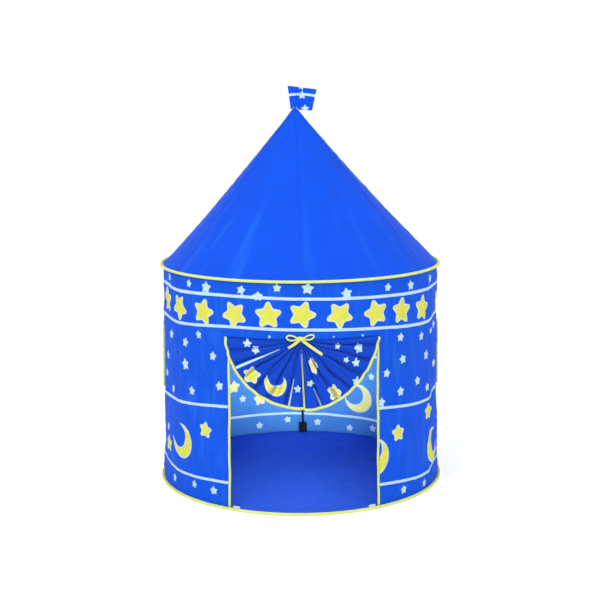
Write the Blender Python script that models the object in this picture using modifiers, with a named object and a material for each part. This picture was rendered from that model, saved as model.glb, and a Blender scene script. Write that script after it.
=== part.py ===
"""Children's play tent: a round fabric cabin with a cone roof, wire hoops, jointed poles and a tied curtain.

The frame is metres with +Z up. The origin is on the ground under the middle of the floor, and the door
faces -Y. An azimuth of zero points at the door and grows towards +X.
"""

import math

import bmesh
import bpy
from mathutils import Matrix, Vector

# Hoops and the tape sleeves that hold them
EAVE_RADIUS = 0.525
FLOOR_SPREAD = 0.012
EAVE_HEIGHT = 0.815
SLEEVE_WIDTH = 0.012
SLEEVE_HEIGHT = 0.010
WIRE_DIAMETER = 0.005
WIRE_CLEARANCE = 0.0003

# Cloth and the gap between pieces that touch
CLOTH = 0.002
GAP = 0.0003
SEAM_GAP = 0.0004
WELD_DISTANCE = 0.00001
HEM_DEPTH = 0.004
WALL_WAIST = 0.004
FLOOR_RIM_INSET = 0.042
FLOOR_RIM_SLOPE = 0.010

# Roof
ROOF_RISE = 0.575
ROOF_SAG_SHARE = 0.13
ROOF_MOUTH = 0.0125
RIDGE_GAP = 0.0013
PEAK_LEAN = -0.016
CAP_MOUTH = 0.0040
CAP_REACH = 0.034

# Door, curtain and tape
DOOR_TOP = 0.612
DOOR_WIDTH = 0.522
BINDING_WIDTH = 0.010
BINDING_THICKNESS = 0.0026
CURTAIN_SPREAD = 0.008
CURTAIN_DROP = 0.246
CURTAIN_LAP = 0.004
CURTAIN_CLOTH = 0.0016
CURTAIN_CLEARANCE = 0.001
CURTAIN_HEART = 0.018
CURTAIN_CENTRE_GAP = 0.0012
CURTAIN_HINGE_OUTSET = 0.0125
PLEAT_DEPTH = 0.004
TAIL_WIDTH = 0.008
TAIL_THICKNESS = 0.002
KNOT_SIZE = (0.024, 0.014, 0.014)
KNOT_LIFT = 0.005
BOW_SHIFT = -0.011
LOOP_CORD_DIAMETER = 0.0055
LOOP_LENGTH = 0.033
LOOP_WIDTH = 0.0145
LOOP_LIFT = 0.006
RIGHT_TAIL = (0.074, 0.053)
LEFT_TAIL = (0.036, 0.031)
TAIL_START = (0.010, 0.013)
TAB_SIZE = (0.020, 0.0015, 0.008)
TAB_ARC = 0.235

# Windows
WINDOW_BOTTOM = 0.35
WINDOW_TOP = 0.59
PIPING_HEIGHT = 0.009
PIPING_THICKNESS = 0.003
PIPING_CORNER = 0.012
NET_THICKNESS = 0.0012
NET_STRAND_SHARE = 0.34

# Poles and their fittings
POLE_DIAMETER = 0.011
POLE_INSET = 0.0115
BACK_POLE_SHIFT = 0.020
ROD_CLEARANCE = 0.0003
POCKET_SIZE = (0.034, 0.018, 0.043)
POCKET_FLOOR = 0.005
POCKET_ROUND = 0.003
POLE_SPLIT = 0.415
FERRULE_LENGTH = 0.070
FERRULE_DIAMETER = 0.0145
ROD_BUTT_GAP = 0.001
RAFTER_INSET = 0.012
ELBOW_DIAMETER = 0.0165
ELBOW_ARM = 0.044
ELBOW_ROUND = 0.014
ELBOW_PLUG = 0.028
HUB_ARM = 0.052
HUB_BALL_DIAMETER = 0.016
HUB_BORE_START = 0.020
HUB_BOSS_DIAMETER = 0.0115
HUB_BOSS_DROP = 0.009

# Flag
MAST_DIAMETER = 0.007
MAST_SEAT = 0.006
FLAG_WIDTH = 0.112
FLAG_HEIGHT = 0.074
FLAG_SLOPE = 0.012
FLAG_CLOTH = 0.0016
FLAG_WAVE = 0.006
FLAG_CHANNEL_DIAMETER = 0.0115
FLAG_LIFT = 0.002
FLAG_DROOP = 0.016
MAST_HEADROOM = 0.006
FLAG_HOIST_SHARE = 0.29
FLAG_TAPER_SHARE = 0.22

# Counts
FACETS = 60
GORES = 6
GORE_FACETS = 5
PANEL_FACETS = 20
PLEATS = 7
PLEAT_FACETS = 5
NET_COLUMNS = 7
NET_ROWS = 6
ROD_SIDES = 10
BORE_SIDES = 12
WIRE_SIDES = 8

FACET_TURN = 2 * math.pi / FACETS
POLE_TURN = 10 * FACET_TURN
WINDOW_TURN_START = 14 * FACET_TURN
WINDOW_TURN_END = 19 * FACET_TURN

ROOF_ROW_SHARES = (0.09, 0.2, 0.33, 0.48, 0.64, 0.8, 0.92, 1.0)
CAP_ROW_SHARES = (0.0, 0.45, 1.0)
WALL_ROW_SHARES = (0.26, 0.5, 0.75)
CURTAIN_ROW_SHARES = (0.0, 0.1, 0.22, 0.34, 0.47, 0.6, 0.73, 0.87, 1.0)
TAIL_ROW_SHARES = (0.0, 0.25, 0.5, 0.75, 1.0)
LOOP_PATH_SHARES = (
    (0.0, -0.22),
    (0.25, -0.36),
    (0.6, -0.5),
    (0.88, -0.38),
    (1.0, 0.0),
    (0.88, 0.38),
    (0.6, 0.5),
    (0.25, 0.36),
    (0.0, 0.22),
)
POCKET_CORNER_SEGMENTS = 2
CORNER_STEPS = 3

# Sizes that follow from the ones above
FLOOR_RADIUS = EAVE_RADIUS + FLOOR_SPREAD
FLOOR_SLEEVE_LEVEL = SLEEVE_HEIGHT / 2
HEM_STEP = (CLOTH + GAP) / 2
WALL_TOP_RADIUS = EAVE_RADIUS - SLEEVE_WIDTH - GAP - CLOTH / 2
WALL_BOTTOM_RADIUS = FLOOR_RADIUS - SLEEVE_WIDTH - GAP - CLOTH / 2
WALL_BOTTOM = FLOOR_SLEEVE_LEVEL + HEM_STEP
WALL_TOP = EAVE_HEIGHT - HEM_STEP
ROOF_BASE = EAVE_HEIGHT + HEM_STEP
PEAK_HEIGHT = ROOF_BASE + ROOF_RISE
ROOF_SLOPE = math.atan2(ROOF_RISE, WALL_TOP_RADIUS)
WALL_SLANT = math.atan2(WALL_TOP_RADIUS - WALL_BOTTOM_RADIUS, WALL_TOP - WALL_BOTTOM)
ROD_RADIUS = POLE_DIAMETER / 2
DOOR_TURN = math.asin(DOOR_WIDTH / 2 / WALL_TOP_RADIUS)
CURTAIN_TURN = math.asin((DOOR_WIDTH + CURTAIN_SPREAD) / 2 / WALL_TOP_RADIUS)
CURTAIN_TOP = DOOR_TOP + CURTAIN_LAP
CURTAIN_OUTSET = (BINDING_THICKNESS + CURTAIN_CLOTH) / 2 + CURTAIN_CLEARANCE
KNOT_LEVEL = CURTAIN_TOP + KNOT_LIFT
BOW_TURN = BOW_SHIFT / WALL_TOP_RADIUS
BACK_POLE_TURN = math.pi - BACK_POLE_SHIFT / WALL_TOP_RADIUS
POLES = {"left": -POLE_TURN, "right": POLE_TURN, "back": BACK_POLE_TURN}


def clear_scene():
    for obj in list(bpy.data.objects):
        bpy.data.objects.remove(obj, do_unlink=True)


def new_collection(name):
    collection = bpy.data.collections.new(name)
    bpy.context.scene.collection.children.link(collection)
    return collection


clear_scene()
PARTS = new_collection("kids_play_tent")
CUTTERS = new_collection("cutters")


def material(name, colour, roughness, metallic=0.0):
    made = bpy.data.materials.new(name)
    made.use_nodes = True
    shader = made.node_tree.nodes["Principled BSDF"]
    shader.inputs["Base Color"].default_value = (*colour, 1.0)
    shader.inputs["Roughness"].default_value = roughness
    shader.inputs["Metallic"].default_value = metallic
    return made


ROOF_CLOTH = material("roof_cloth", (0.012, 0.11, 0.85), 0.75)
WALL_CLOTH = material("wall_cloth", (0.014, 0.10, 0.76), 0.75)
CURTAIN_BLUE = material("curtain_cloth", (0.012, 0.075, 0.60), 0.75)
FLOOR_CLOTH = material("floor_cloth", (0.010, 0.07, 0.62), 0.6)
YELLOW_TAPE = material("yellow_tape", (0.82, 0.87, 0.10), 0.7)
SPRING_WIRE = material("spring_wire", (0.55, 0.56, 0.58), 0.35, 1.0)
BLACK_POLE = material("black_pole", (0.012, 0.012, 0.014), 0.45)
BLACK_FITTING = material("black_fitting", (0.010, 0.010, 0.012), 0.55)
WHITE_TAB = material("white_tab", (0.85, 0.87, 0.90), 0.7)
BLUE_NET = material("blue_net", (0.03, 0.14, 0.70), 0.8)
FLAG_CLOTH_BLUE = material("flag_cloth", (0.02, 0.12, 0.80), 0.75)


def add_object(name, mesh, finish, collection=None):
    obj = bpy.data.objects.new(name, mesh)
    (collection or PARTS).objects.link(obj)
    if finish:
        mesh.materials.append(finish)
    else:
        obj.hide_render = True
        obj.display_type = "WIRE"
    return obj


def mesh_from(name, bm):
    bmesh.ops.recalc_face_normals(bm, faces=bm.faces)
    mesh = bpy.data.meshes.new(name)
    bm.to_mesh(mesh)
    bm.free()
    return mesh


def smooth(obj, angle=math.radians(40)):
    obj.data.shade_smooth()
    obj.data.set_sharp_from_angle(angle=angle)


def ring_point(radius, azimuth, height):
    return Vector((radius * math.sin(azimuth), -radius * math.cos(azimuth), height))


def between(start, end, share):
    return start + (end - start) * share


def pole_slack(azimuth):
    """Zero over the three poles, and one midway between two of them."""
    return abs(math.sin(1.5 * (azimuth - POLE_TURN)))


def wall_radius(azimuth, height):
    share = (height - WALL_BOTTOM) / (WALL_TOP - WALL_BOTTOM)
    straight = between(WALL_BOTTOM_RADIUS, WALL_TOP_RADIUS, share)
    return straight - WALL_WAIST * 4 * share * (1 - share) * pole_slack(azimuth)


def facet_share(azimuth):
    """The radius of a flat facet of the wall at this azimuth, as a share of its corners' radius."""
    half = FACET_TURN / 2
    return math.cos(half) / math.cos(azimuth % FACET_TURN - half)


def wall_point(azimuth, height, outset=0.0):
    radius = (wall_radius(azimuth, height) + outset) * facet_share(azimuth)
    return ring_point(radius, azimuth, height)


def roof_point(share, azimuth, outset=0.0):
    """A point of the roof: share zero is the peak and one the eave."""
    sag = ROOF_SAG_SHARE * (1 - share) * pole_slack(azimuth)
    radius = WALL_TOP_RADIUS * share * (1 - sag) + outset * math.sin(ROOF_SLOPE)
    height = PEAK_HEIGHT - ROOF_RISE * share + outset * math.cos(ROOF_SLOPE)
    return ring_point(radius, azimuth, height) + Vector((PEAK_LEAN * (1 - share), 0, 0))


def sheet(name, place, columns, rows, thickness, finish, drop=None, closed=False):
    """A cloth surface of columns by rows cells, with each corner put by place and the thickness added."""
    bm = bmesh.new()
    bmesh.ops.create_grid(bm, x_segments=columns, y_segments=rows, size=1.0)
    corner = {}
    for vert in bm.verts:
        column = round((vert.co.x + 1) / 2 * columns)
        row = round((vert.co.y + 1) / 2 * rows)
        corner[vert] = (column, row)
    if drop:
        lost = []
        for face in bm.faces:
            columns_here, rows_here = zip(*(corner[vert] for vert in face.verts))
            if drop(min(columns_here), min(rows_here)):
                lost.append(face)
        bmesh.ops.delete(bm, geom=lost, context="FACES")
    for vert in bm.verts:
        vert.co = place(*corner[vert])
    if closed:
        bmesh.ops.remove_doubles(bm, verts=bm.verts, dist=WELD_DISTANCE)
    obj = add_object(name, mesh_from(name, bm), finish)
    solidify = obj.modifiers.new("thickness", "SOLIDIFY")
    solidify.thickness = thickness
    solidify.offset = 0.0
    solidify.use_even_offset = True
    smooth(obj)
    return obj


def turned(name, outline, finish):
    """A closed outline of (radius, height) points, turned about the tent's axis."""
    bm = bmesh.new()
    verts = [bm.verts.new((radius, 0, height)) for radius, height in outline]
    on_axis = outline[0][0] == 0
    for start, end in zip(verts, verts[1:] + ([] if on_axis else verts[:1])):
        bm.edges.new((start, end))
    mesh = bpy.data.meshes.new(name)
    bm.to_mesh(mesh)
    bm.free()
    obj = add_object(name, mesh, finish)
    screw = obj.modifiers.new("turn", "SCREW")
    screw.axis = "Z"
    screw.angle = 2 * math.pi
    screw.steps = FACETS
    screw.render_steps = FACETS
    screw.use_merge_vertices = True
    screw.merge_threshold = WELD_DISTANCE
    smooth(obj)
    return obj


def rod(name, start, end, radius, sides, finish=None):
    """A solid round bar between two points. One without a finish is a cutter."""
    bm = bmesh.new()
    length = (end - start).length
    bmesh.ops.create_cone(
        bm, cap_ends=True, segments=sides, radius1=radius, radius2=radius, depth=length
    )
    obj = add_object(name, mesh_from(name, bm), finish, None if finish else CUTTERS)
    obj.location = (start + end) / 2
    obj.rotation_euler = (end - start).to_track_quat("Z", "Y").to_euler()
    if finish:
        smooth(obj)
    return obj


def combine(obj, other, operation="DIFFERENCE", solver="EXACT"):
    change = obj.modifiers.new(other.name, "BOOLEAN")
    change.operation = operation
    change.object = other
    change.solver = solver


def bore_radius(radius, clearance):
    """The corner radius of a bore whose flat sides still clear a bar of this radius."""
    return (radius + clearance) / math.cos(math.pi / BORE_SIDES)


def block(name, size, finish, round_edge=0.0):
    bm = bmesh.new()
    bmesh.ops.create_cube(bm, size=1.0, matrix=Matrix.Diagonal((*size, 1.0)))
    obj = add_object(name, mesh_from(name, bm), finish)
    if round_edge:
        bevel = obj.modifiers.new("round", "BEVEL")
        bevel.width = round_edge
        bevel.segments = POCKET_CORNER_SEGMENTS
    return obj


def facet_turns(start, end, count):
    return [between(start, end, step / count) for step in range(count + 1)]


def seam_shift(turns, column, gap):
    """What draws the first and last column of a panel in by half of its seam's gap."""
    side = {0: 1, len(turns) - 1: -1}.get(column, 0)
    turn = turns[column]
    return Vector((math.cos(turn), math.sin(turn), 0)) * side * gap / 2


def half_circle(centre, radius, sides):
    """Points round the outer end of a sleeve, from its top to its bottom."""
    turns = [math.pi / 2 - math.pi * step / sides for step in range(sides + 1)]
    across, level = centre
    return [(across + radius * math.cos(turn), level + radius * math.sin(turn)) for turn in turns]


def hoop(name, outer_radius, level):
    """The spring wire and the folded tape round it, open on the side that the cloth enters."""
    end_radius = SLEEVE_HEIGHT / 2
    centre = (outer_radius - end_radius, level)
    wire_radius = WIRE_DIAMETER / 2
    hollow = (wire_radius + WIRE_CLEARANCE) / math.cos(math.pi / 8)
    inner = outer_radius - SLEEVE_WIDTH
    outside = half_circle(centre, end_radius, 4)
    inside = half_circle(centre, hollow, 4)
    outline = [(inner, level + end_radius), *outside, (inner, level - end_radius)]
    outline += [(inner, level - hollow), *reversed(inside), (inner, level + hollow)]
    turned(f"{name}_sleeve", outline, YELLOW_TAPE)
    turns = [-2 * math.pi * step / WIRE_SIDES for step in range(WIRE_SIDES)]
    across = centre[0]
    wire = [(across + wire_radius * math.cos(t), level + wire_radius * math.sin(t)) for t in turns]
    turned(name, wire, SPRING_WIRE)


def floor_panel():
    rim = FLOOR_RADIUS - FLOOR_RIM_INSET
    rise = FLOOR_SLEEVE_LEVEL - HEM_STEP - CLOTH / 2
    edge = FLOOR_RADIUS - SLEEVE_WIDTH + HEM_DEPTH
    outline = [
        (0, CLOTH),
        (rim - FLOOR_RIM_SLOPE, CLOTH),
        (rim, rise + CLOTH),
        (edge, rise + CLOTH),
        (edge, rise),
        (rim, rise),
        (rim - FLOOR_RIM_SLOPE, 0),
        (0, 0),
    ]
    turned("floor_panel", outline, FLOOR_CLOTH)


def wall_panel(name, turns, heights, drop):
    rows = [(WALL_BOTTOM, HEM_DEPTH), (WALL_BOTTOM, 0.0)]
    rows += [(height, 0.0) for height in heights]
    rows += [(WALL_TOP, 0.0), (WALL_TOP, HEM_DEPTH)]

    def place(column, row):
        height, outset = rows[row]
        return wall_point(turns[column], height, outset) + seam_shift(turns, column, SEAM_GAP)

    def dropped(column, row):
        turn = (turns[column] + turns[column + 1]) / 2
        height = (rows[row][0] + rows[row + 1][0]) / 2
        return drop(turn, height)

    sheet(name, place, len(turns) - 1, len(rows) - 1, CLOTH, WALL_CLOTH, dropped)


def walls():
    def in_door(turn, height):
        return abs(turn) < DOOR_TURN and height < DOOR_TOP

    def in_window(turn, height):
        inside = WINDOW_TURN_START < abs(turn) < WINDOW_TURN_END
        return inside and WINDOW_BOTTOM < height < WINDOW_TOP

    front_rows = [between(WALL_BOTTOM, WALL_TOP, share) for share in WALL_ROW_SHARES]
    front_rows = sorted([height for height in front_rows if height < DOOR_TOP] + [DOOR_TOP])
    side_rows = [WINDOW_BOTTOM, (WINDOW_BOTTOM + WINDOW_TOP) / 2, WINDOW_TOP]
    front_turns = [
        turn
        for turn in facet_turns(-POLE_TURN, POLE_TURN, PANEL_FACETS)
        if abs(abs(turn) - DOOR_TURN) > FACET_TURN / 2
    ]
    front_turns = sorted([*front_turns, -DOOR_TURN, DOOR_TURN])
    wall_panel("front_wall_panel", front_turns, front_rows, in_door)
    wall_panel("right_wall_panel", facet_turns(POLE_TURN, math.pi, PANEL_FACETS), side_rows, in_window)
    wall_panel("left_wall_panel", facet_turns(-math.pi, -POLE_TURN, PANEL_FACETS), side_rows, in_window)


def window(name, side):
    """The net in its cut-out, and the folded tape that stands round it."""
    trim = GAP / WALL_TOP_RADIUS
    start, end = WINDOW_TURN_START + trim, WINDOW_TURN_END - trim
    low, high = WINDOW_BOTTOM + GAP, WINDOW_TOP - GAP

    def line(index, count):
        cell = 1 / (count + NET_STRAND_SHARE)
        whole, half = divmod(index, 2)
        return cell * (whole + half * NET_STRAND_SHARE)

    def place(column, row):
        turn = between(start, end, line(column, NET_COLUMNS))
        return wall_point(side * turn, between(low, high, line(row, NET_ROWS)))

    def hole(column, row):
        return column % 2 == 1 and row % 2 == 1

    across, up = 2 * NET_COLUMNS + 1, 2 * NET_ROWS + 1
    sheet(f"{name}_window_net", place, across, up, NET_THICKNESS, BLUE_NET, hole)
    path = window_path()

    def lip(column, row):
        turn, height = path[column % len(path)]
        outset = CLOTH / 2 + GAP + PIPING_HEIGHT * row
        return wall_point(side * turn, height, outset)

    label = f"{name}_window_piping"
    sheet(label, lip, len(path), 1, PIPING_THICKNESS, YELLOW_TAPE, closed=True)


def window_path():
    """The (azimuth, height) points round a window, with its corners rounded."""
    across = PIPING_CORNER / WALL_TOP_RADIUS
    corners = [
        (WINDOW_TURN_START, WINDOW_BOTTOM, 1, 1, math.pi),
        (WINDOW_TURN_END, WINDOW_BOTTOM, -1, 1, 1.5 * math.pi),
        (WINDOW_TURN_END, WINDOW_TOP, -1, -1, 0.0),
        (WINDOW_TURN_START, WINDOW_TOP, 1, -1, 0.5 * math.pi),
    ]
    facets = round((WINDOW_TURN_END - WINDOW_TURN_START) / FACET_TURN)
    inner_turns = [WINDOW_TURN_START + FACET_TURN * step for step in range(1, facets)]
    path = []
    for index, (turn, height, inward, upward, first) in enumerate(corners):
        for step in range(CORNER_STEPS + 1):
            angle = first + math.pi / 2 * step / CORNER_STEPS
            path.append(
                (
                    turn + across * (inward + math.cos(angle)),
                    height + PIPING_CORNER * (upward + math.sin(angle)),
                )
            )
        if index == 0:
            path += [(inner, WINDOW_BOTTOM) for inner in inner_turns]
        if index == 2:
            path += [(inner, WINDOW_TOP) for inner in reversed(inner_turns)]
    return path


def roof():
    names = ("front_right", "right", "back_right", "back_left", "left", "front_left")
    shares = [ROOF_MOUTH / WALL_TOP_RADIUS, *ROOF_ROW_SHARES]
    for index, name in enumerate(names):
        first = 2 * math.pi / GORES * index
        turns = facet_turns(first, first + 2 * math.pi / GORES, GORE_FACETS)

        def place(column, row):
            shift = seam_shift(turns, column, RIDGE_GAP)
            if row == len(shares):
                return ring_point(WALL_TOP_RADIUS + HEM_DEPTH, turns[column], ROOF_BASE) + shift
            return roof_point(shares[row], turns[column]) + shift

        sheet(f"{name}_roof_gore", place, GORE_FACETS, len(shares), CLOTH, ROOF_CLOTH)
    facets = GORES * GORE_FACETS
    cap = [
        between(CAP_MOUTH, CAP_REACH, share) / WALL_TOP_RADIUS for share in CAP_ROW_SHARES
    ]

    def cap_place(column, row):
        turn = 2 * math.pi * (column % facets) / facets
        return roof_point(cap[row], turn, CLOTH + GAP)

    sheet("roof_peak_cap", cap_place, facets, len(cap) - 1, CLOTH, ROOF_CLOTH, closed=True)


def pole_line(name, azimuth):
    """One of the three jointed poles, from its pocket on the floor to the hub under the peak."""
    tilt_room = POCKET_SIZE[1] / 2 * abs(math.sin(WALL_SLANT))
    stand = pole_point(azimuth, FLOOR_SLEEVE_LEVEL - HEM_STEP + CLOTH / 2 + GAP + tilt_room)
    bend = pole_point(azimuth, bend_height())
    hub = hub_centre()
    pole_axis = (bend - stand).normalized()
    rafter_axis = (hub - bend).normalized()
    foot = stand + pole_axis * POCKET_FLOOR

    pocket = block(f"{name}_base_pocket", POCKET_SIZE, BLACK_FITTING, POCKET_ROUND)
    pocket.location = stand + pole_axis * POCKET_SIZE[2] / 2
    pocket.rotation_euler = (WALL_SLANT, 0, azimuth)
    bore = bore_radius(ROD_RADIUS, ROD_CLEARANCE)
    mouth = foot + pole_axis * 2 * POCKET_SIZE[2]
    combine(pocket, rod(f"{name}_pocket_bore", foot, mouth, bore, BORE_SIDES))

    rise = (POLE_SPLIT - foot.z) / pole_axis.z
    split = foot + pole_axis * rise
    butt = pole_axis * ROD_BUTT_GAP / 2
    start = foot + pole_axis * ROD_CLEARANCE
    rod(f"{name}_lower_pole", start, split - butt, ROD_RADIUS, ROD_SIDES, BLACK_POLE)
    plug = ELBOW_ARM - ELBOW_PLUG
    end = bend - pole_axis * (plug + ROD_CLEARANCE)
    rod(f"{name}_upper_pole", split + butt, end, ROD_RADIUS, ROD_SIDES, BLACK_POLE)

    half = pole_axis * FERRULE_LENGTH / 2
    low, high = split - half, split + half
    ferrule = rod(f"{name}_ferrule", low, high, FERRULE_DIAMETER / 2, BORE_SIDES, BLACK_FITTING)
    combine(ferrule, rod(f"{name}_ferrule_bore", low - half, high + half, bore, BORE_SIDES))

    elbow(f"{name}_eave_elbow", bend, -pole_axis, rafter_axis, bore)
    low = bend + rafter_axis * (plug + ROD_CLEARANCE)
    high = hub - rafter_axis * (HUB_BORE_START + ROD_CLEARANCE)
    rod(f"{name}_rafter", low, high, ROD_RADIUS, ROD_SIDES, BLACK_POLE)


def pole_point(azimuth, height):
    """A point of a pole's line, which runs inside the wall at the pole's inset."""
    radius = wall_radius(azimuth, height) - POLE_INSET / math.cos(WALL_SLANT)
    return ring_point(radius, azimuth, height)


def bend_height():
    """Where a pole's line meets its rafter's line, which runs under the roof cloth at its inset."""
    level = ROOF_BASE - RAFTER_INSET / math.cos(ROOF_SLOPE)
    return level + POLE_INSET * math.tan(ROOF_SLOPE)


def hub_centre():
    drop = RAFTER_INSET / math.cos(ROOF_SLOPE)
    share = drop / ROOF_RISE
    return Vector((PEAK_LEAN * (1 - share), 0, PEAK_HEIGHT - drop))


def tube(name, points, radius, resolution, finish):
    """A solid round bar along a path, as a mesh with its caps welded on."""
    curve = bpy.data.curves.new(name, "CURVE")
    curve.dimensions = "3D"
    curve.bevel_depth = radius
    curve.bevel_resolution = resolution
    curve.use_fill_caps = True
    spline = curve.splines.new("POLY")
    spline.points.add(len(points) - 1)
    for slot, point in zip(spline.points, points):
        slot.co = (*point, 1.0)
    guide = bpy.data.objects.new(f"{name}_guide", curve)
    CUTTERS.objects.link(guide)
    bpy.context.view_layer.update()
    graph = bpy.context.evaluated_depsgraph_get()
    mesh = bpy.data.meshes.new_from_object(guide.evaluated_get(graph))
    bpy.data.objects.remove(guide, do_unlink=True)
    bm = bmesh.new()
    bm.from_mesh(mesh)
    bmesh.ops.remove_doubles(bm, verts=bm.verts, dist=WELD_DISTANCE)
    bmesh.ops.recalc_face_normals(bm, faces=bm.faces)
    bm.to_mesh(mesh)
    bm.free()
    return add_object(name, mesh, finish)


def elbow(name, bend, down, inward, bore):
    """A moulded bend with a socket at each end."""
    start = bend + down * ELBOW_ARM
    end = bend + inward * ELBOW_ARM
    turn = [bend + down * ELBOW_ROUND, bend, bend + inward * ELBOW_ROUND]
    steps = 2 * CORNER_STEPS
    arc = []
    for step in range(steps + 1):
        share = step / steps
        first = between(turn[0], turn[1], share)
        second = between(turn[1], turn[2], share)
        arc.append(between(first, second, share))
    obj = tube(name, [start, *arc, end], ELBOW_DIAMETER / 2, 3, BLACK_FITTING)
    for label, point, direction in (("lower", start, down), ("upper", end, inward)):
        inside = point - direction * ELBOW_PLUG
        outside = point + direction * ELBOW_PLUG
        combine(obj, rod(f"{name}_{label}_bore", inside, outside, bore, BORE_SIDES))
    smooth(obj)


def crown_hub():
    """Three sockets for the rafters and a boss for the mast, moulded as one piece."""
    centre = hub_centre()
    peak = Vector((centre.x, centre.y, PEAK_HEIGHT - HUB_BOSS_DROP))
    hub = rod("crown_hub", centre, peak, HUB_BOSS_DIAMETER / 2, BORE_SIDES, BLACK_FITTING)
    ball = bmesh.new()
    ball_radius = HUB_BALL_DIAMETER / 2
    bmesh.ops.create_uvsphere(ball, u_segments=BORE_SIDES, v_segments=ROD_SIDES, radius=ball_radius)
    ball_object = add_object("hub_ball", mesh_from("hub_ball", ball), None, CUTTERS)
    ball_object.location = centre
    combine(hub, ball_object, "UNION", "MANIFOLD")
    bores = []
    for name, azimuth in POLES.items():
        axis = (pole_point(azimuth, bend_height()) - centre).normalized()
        arm = rod(f"{name}_hub_arm", centre, centre + axis * HUB_ARM, ELBOW_DIAMETER / 2, BORE_SIDES)
        combine(hub, arm, "UNION", "MANIFOLD")
        bore = bore_radius(ROD_RADIUS, ROD_CLEARANCE)
        inside = centre + axis * HUB_BORE_START
        bores.append(rod(f"{name}_hub_bore", inside, centre + axis * 2 * HUB_ARM, bore, BORE_SIDES))
    mast_bore = bore_radius(MAST_DIAMETER / 2, ROD_CLEARANCE)
    seat = peak - Vector((0, 0, MAST_SEAT))
    bores.append(rod("mast_bore", seat, peak + Vector((0, 0, MAST_SEAT)), mast_bore, BORE_SIDES))
    for bore in bores:
        combine(hub, bore, solver="MANIFOLD")
    return seat


def hinge(name, location):
    empty = bpy.data.objects.new(name, None)
    empty.location = location
    empty.empty_display_size = SLEEVE_WIDTH
    PARTS.objects.link(empty)
    bpy.context.view_layer.update()
    return empty


def carry(empty, *pieces):
    for piece in pieces:
        piece.parent = empty
        piece.matrix_parent_inverse = empty.matrix_world.inverted()


def mast_and_flag(seat):
    base = seat + Vector((0, 0, ROD_CLEARANCE))
    flag_low = PEAK_HEIGHT + FLAG_LIFT
    flag_high = flag_low + FLAG_HEIGHT
    channel_top = flag_high - FLAG_SLOPE * FLAG_HOIST_SHARE - FLAG_CLOTH
    top = Vector((seat.x, seat.y, channel_top - MAST_HEADROOM))
    rod("flag_mast", base, top, MAST_DIAMETER / 2, ROD_SIDES, BLACK_POLE)
    columns, rows = 8, 3
    left = -FLAG_WIDTH * FLAG_HOIST_SHARE

    def place(column, row):
        share = column / columns
        up_share = row / rows
        taper = 1 - FLAG_TAPER_SHARE * (1 - up_share)
        across = (left + FLAG_WIDTH * share) * taper
        beyond = max(abs(across) - FLAG_CHANNEL_DIAMETER / 2, 0)
        low = flag_low - FLAG_DROOP * min(beyond / FLAG_DROOP, 1)
        high = flag_high - FLAG_SLOPE * share
        wave = FLAG_WAVE * math.sin(math.pi * across / (FLAG_WIDTH / 2))
        return Vector((seat.x + across, seat.y + wave, between(low, high, up_share)))

    flag = sheet("flag", place, columns, rows, FLAG_CLOTH, FLAG_CLOTH_BLUE)
    low = Vector((seat.x, seat.y, flag_low))
    high = Vector((seat.x, seat.y, channel_top))
    combine(flag, rod("flag_channel", low, high, FLAG_CHANNEL_DIAMETER / 2, BORE_SIDES), "UNION")
    bore = bore_radius(MAST_DIAMETER / 2, ROD_CLEARANCE)
    bore_low = low - Vector((0, 0, FLAG_DROOP))
    bore_high = top + Vector((0, 0, ROD_CLEARANCE))
    combine(flag, rod("flag_bore", bore_low, bore_high, bore, BORE_SIDES))
    carry(hinge("flag_axis", Vector((seat.x, seat.y, flag_low))), flag)


def curtain_outset(reach, turn):
    return CURTAIN_OUTSET + PLEAT_DEPTH * reach * (1 - math.cos(4 * PLEATS * turn))


def curtain_point(side, reach, turn):
    """A point of a tied half curtain: reach runs from the bow to the hem, turn from the door's head down."""
    first = CURTAIN_CENTRE_GAP / WALL_TOP_RADIUS
    azimuth = side * between(first, CURTAIN_TURN, reach * math.cos(turn)) + BOW_TURN * (1 - reach)
    height = CURTAIN_TOP - CURTAIN_DROP * reach * math.sin(turn)
    return wall_point(azimuth, height, curtain_outset(reach, turn))


def half_curtain(name, side):
    heart = CURTAIN_HEART / CURTAIN_DROP
    hem = 1 - BINDING_WIDTH / CURTAIN_DROP
    gap = GAP / CURTAIN_DROP
    edge = math.pi / 2 - BINDING_WIDTH / CURTAIN_DROP
    columns = PLEATS * PLEAT_FACETS
    full = [math.pi / 2 * step / columns for step in range(columns + 1)]
    turns = [turn for turn in full if turn < edge - gap]
    reaches = [between(heart, hem, share) for share in CURTAIN_ROW_SHARES]
    cloth_turns = [*turns, edge]
    tape_turns = [*turns, edge + gap / heart, math.pi / 2]
    tape_reaches = [*reaches[:-1], hem + gap, 1.0]

    def cloth(column, row):
        return curtain_point(side, reaches[row], cloth_turns[column])

    def tape(column, row):
        return curtain_point(side, tape_reaches[row], tape_turns[column])

    def not_tape(column, row):
        return column < len(tape_turns) - 2 and row < len(tape_reaches) - 2

    across, down = len(cloth_turns) - 1, len(reaches) - 1
    curtain = sheet(f"{name}_curtain", cloth, across, down, CURTAIN_CLOTH, CURTAIN_BLUE)
    across, down = len(tape_turns) - 1, len(tape_reaches) - 1
    label = f"{name}_curtain_binding"
    binding = sheet(label, tape, across, down, CURTAIN_CLOTH, YELLOW_TAPE, not_tape)
    return curtain, binding


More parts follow.
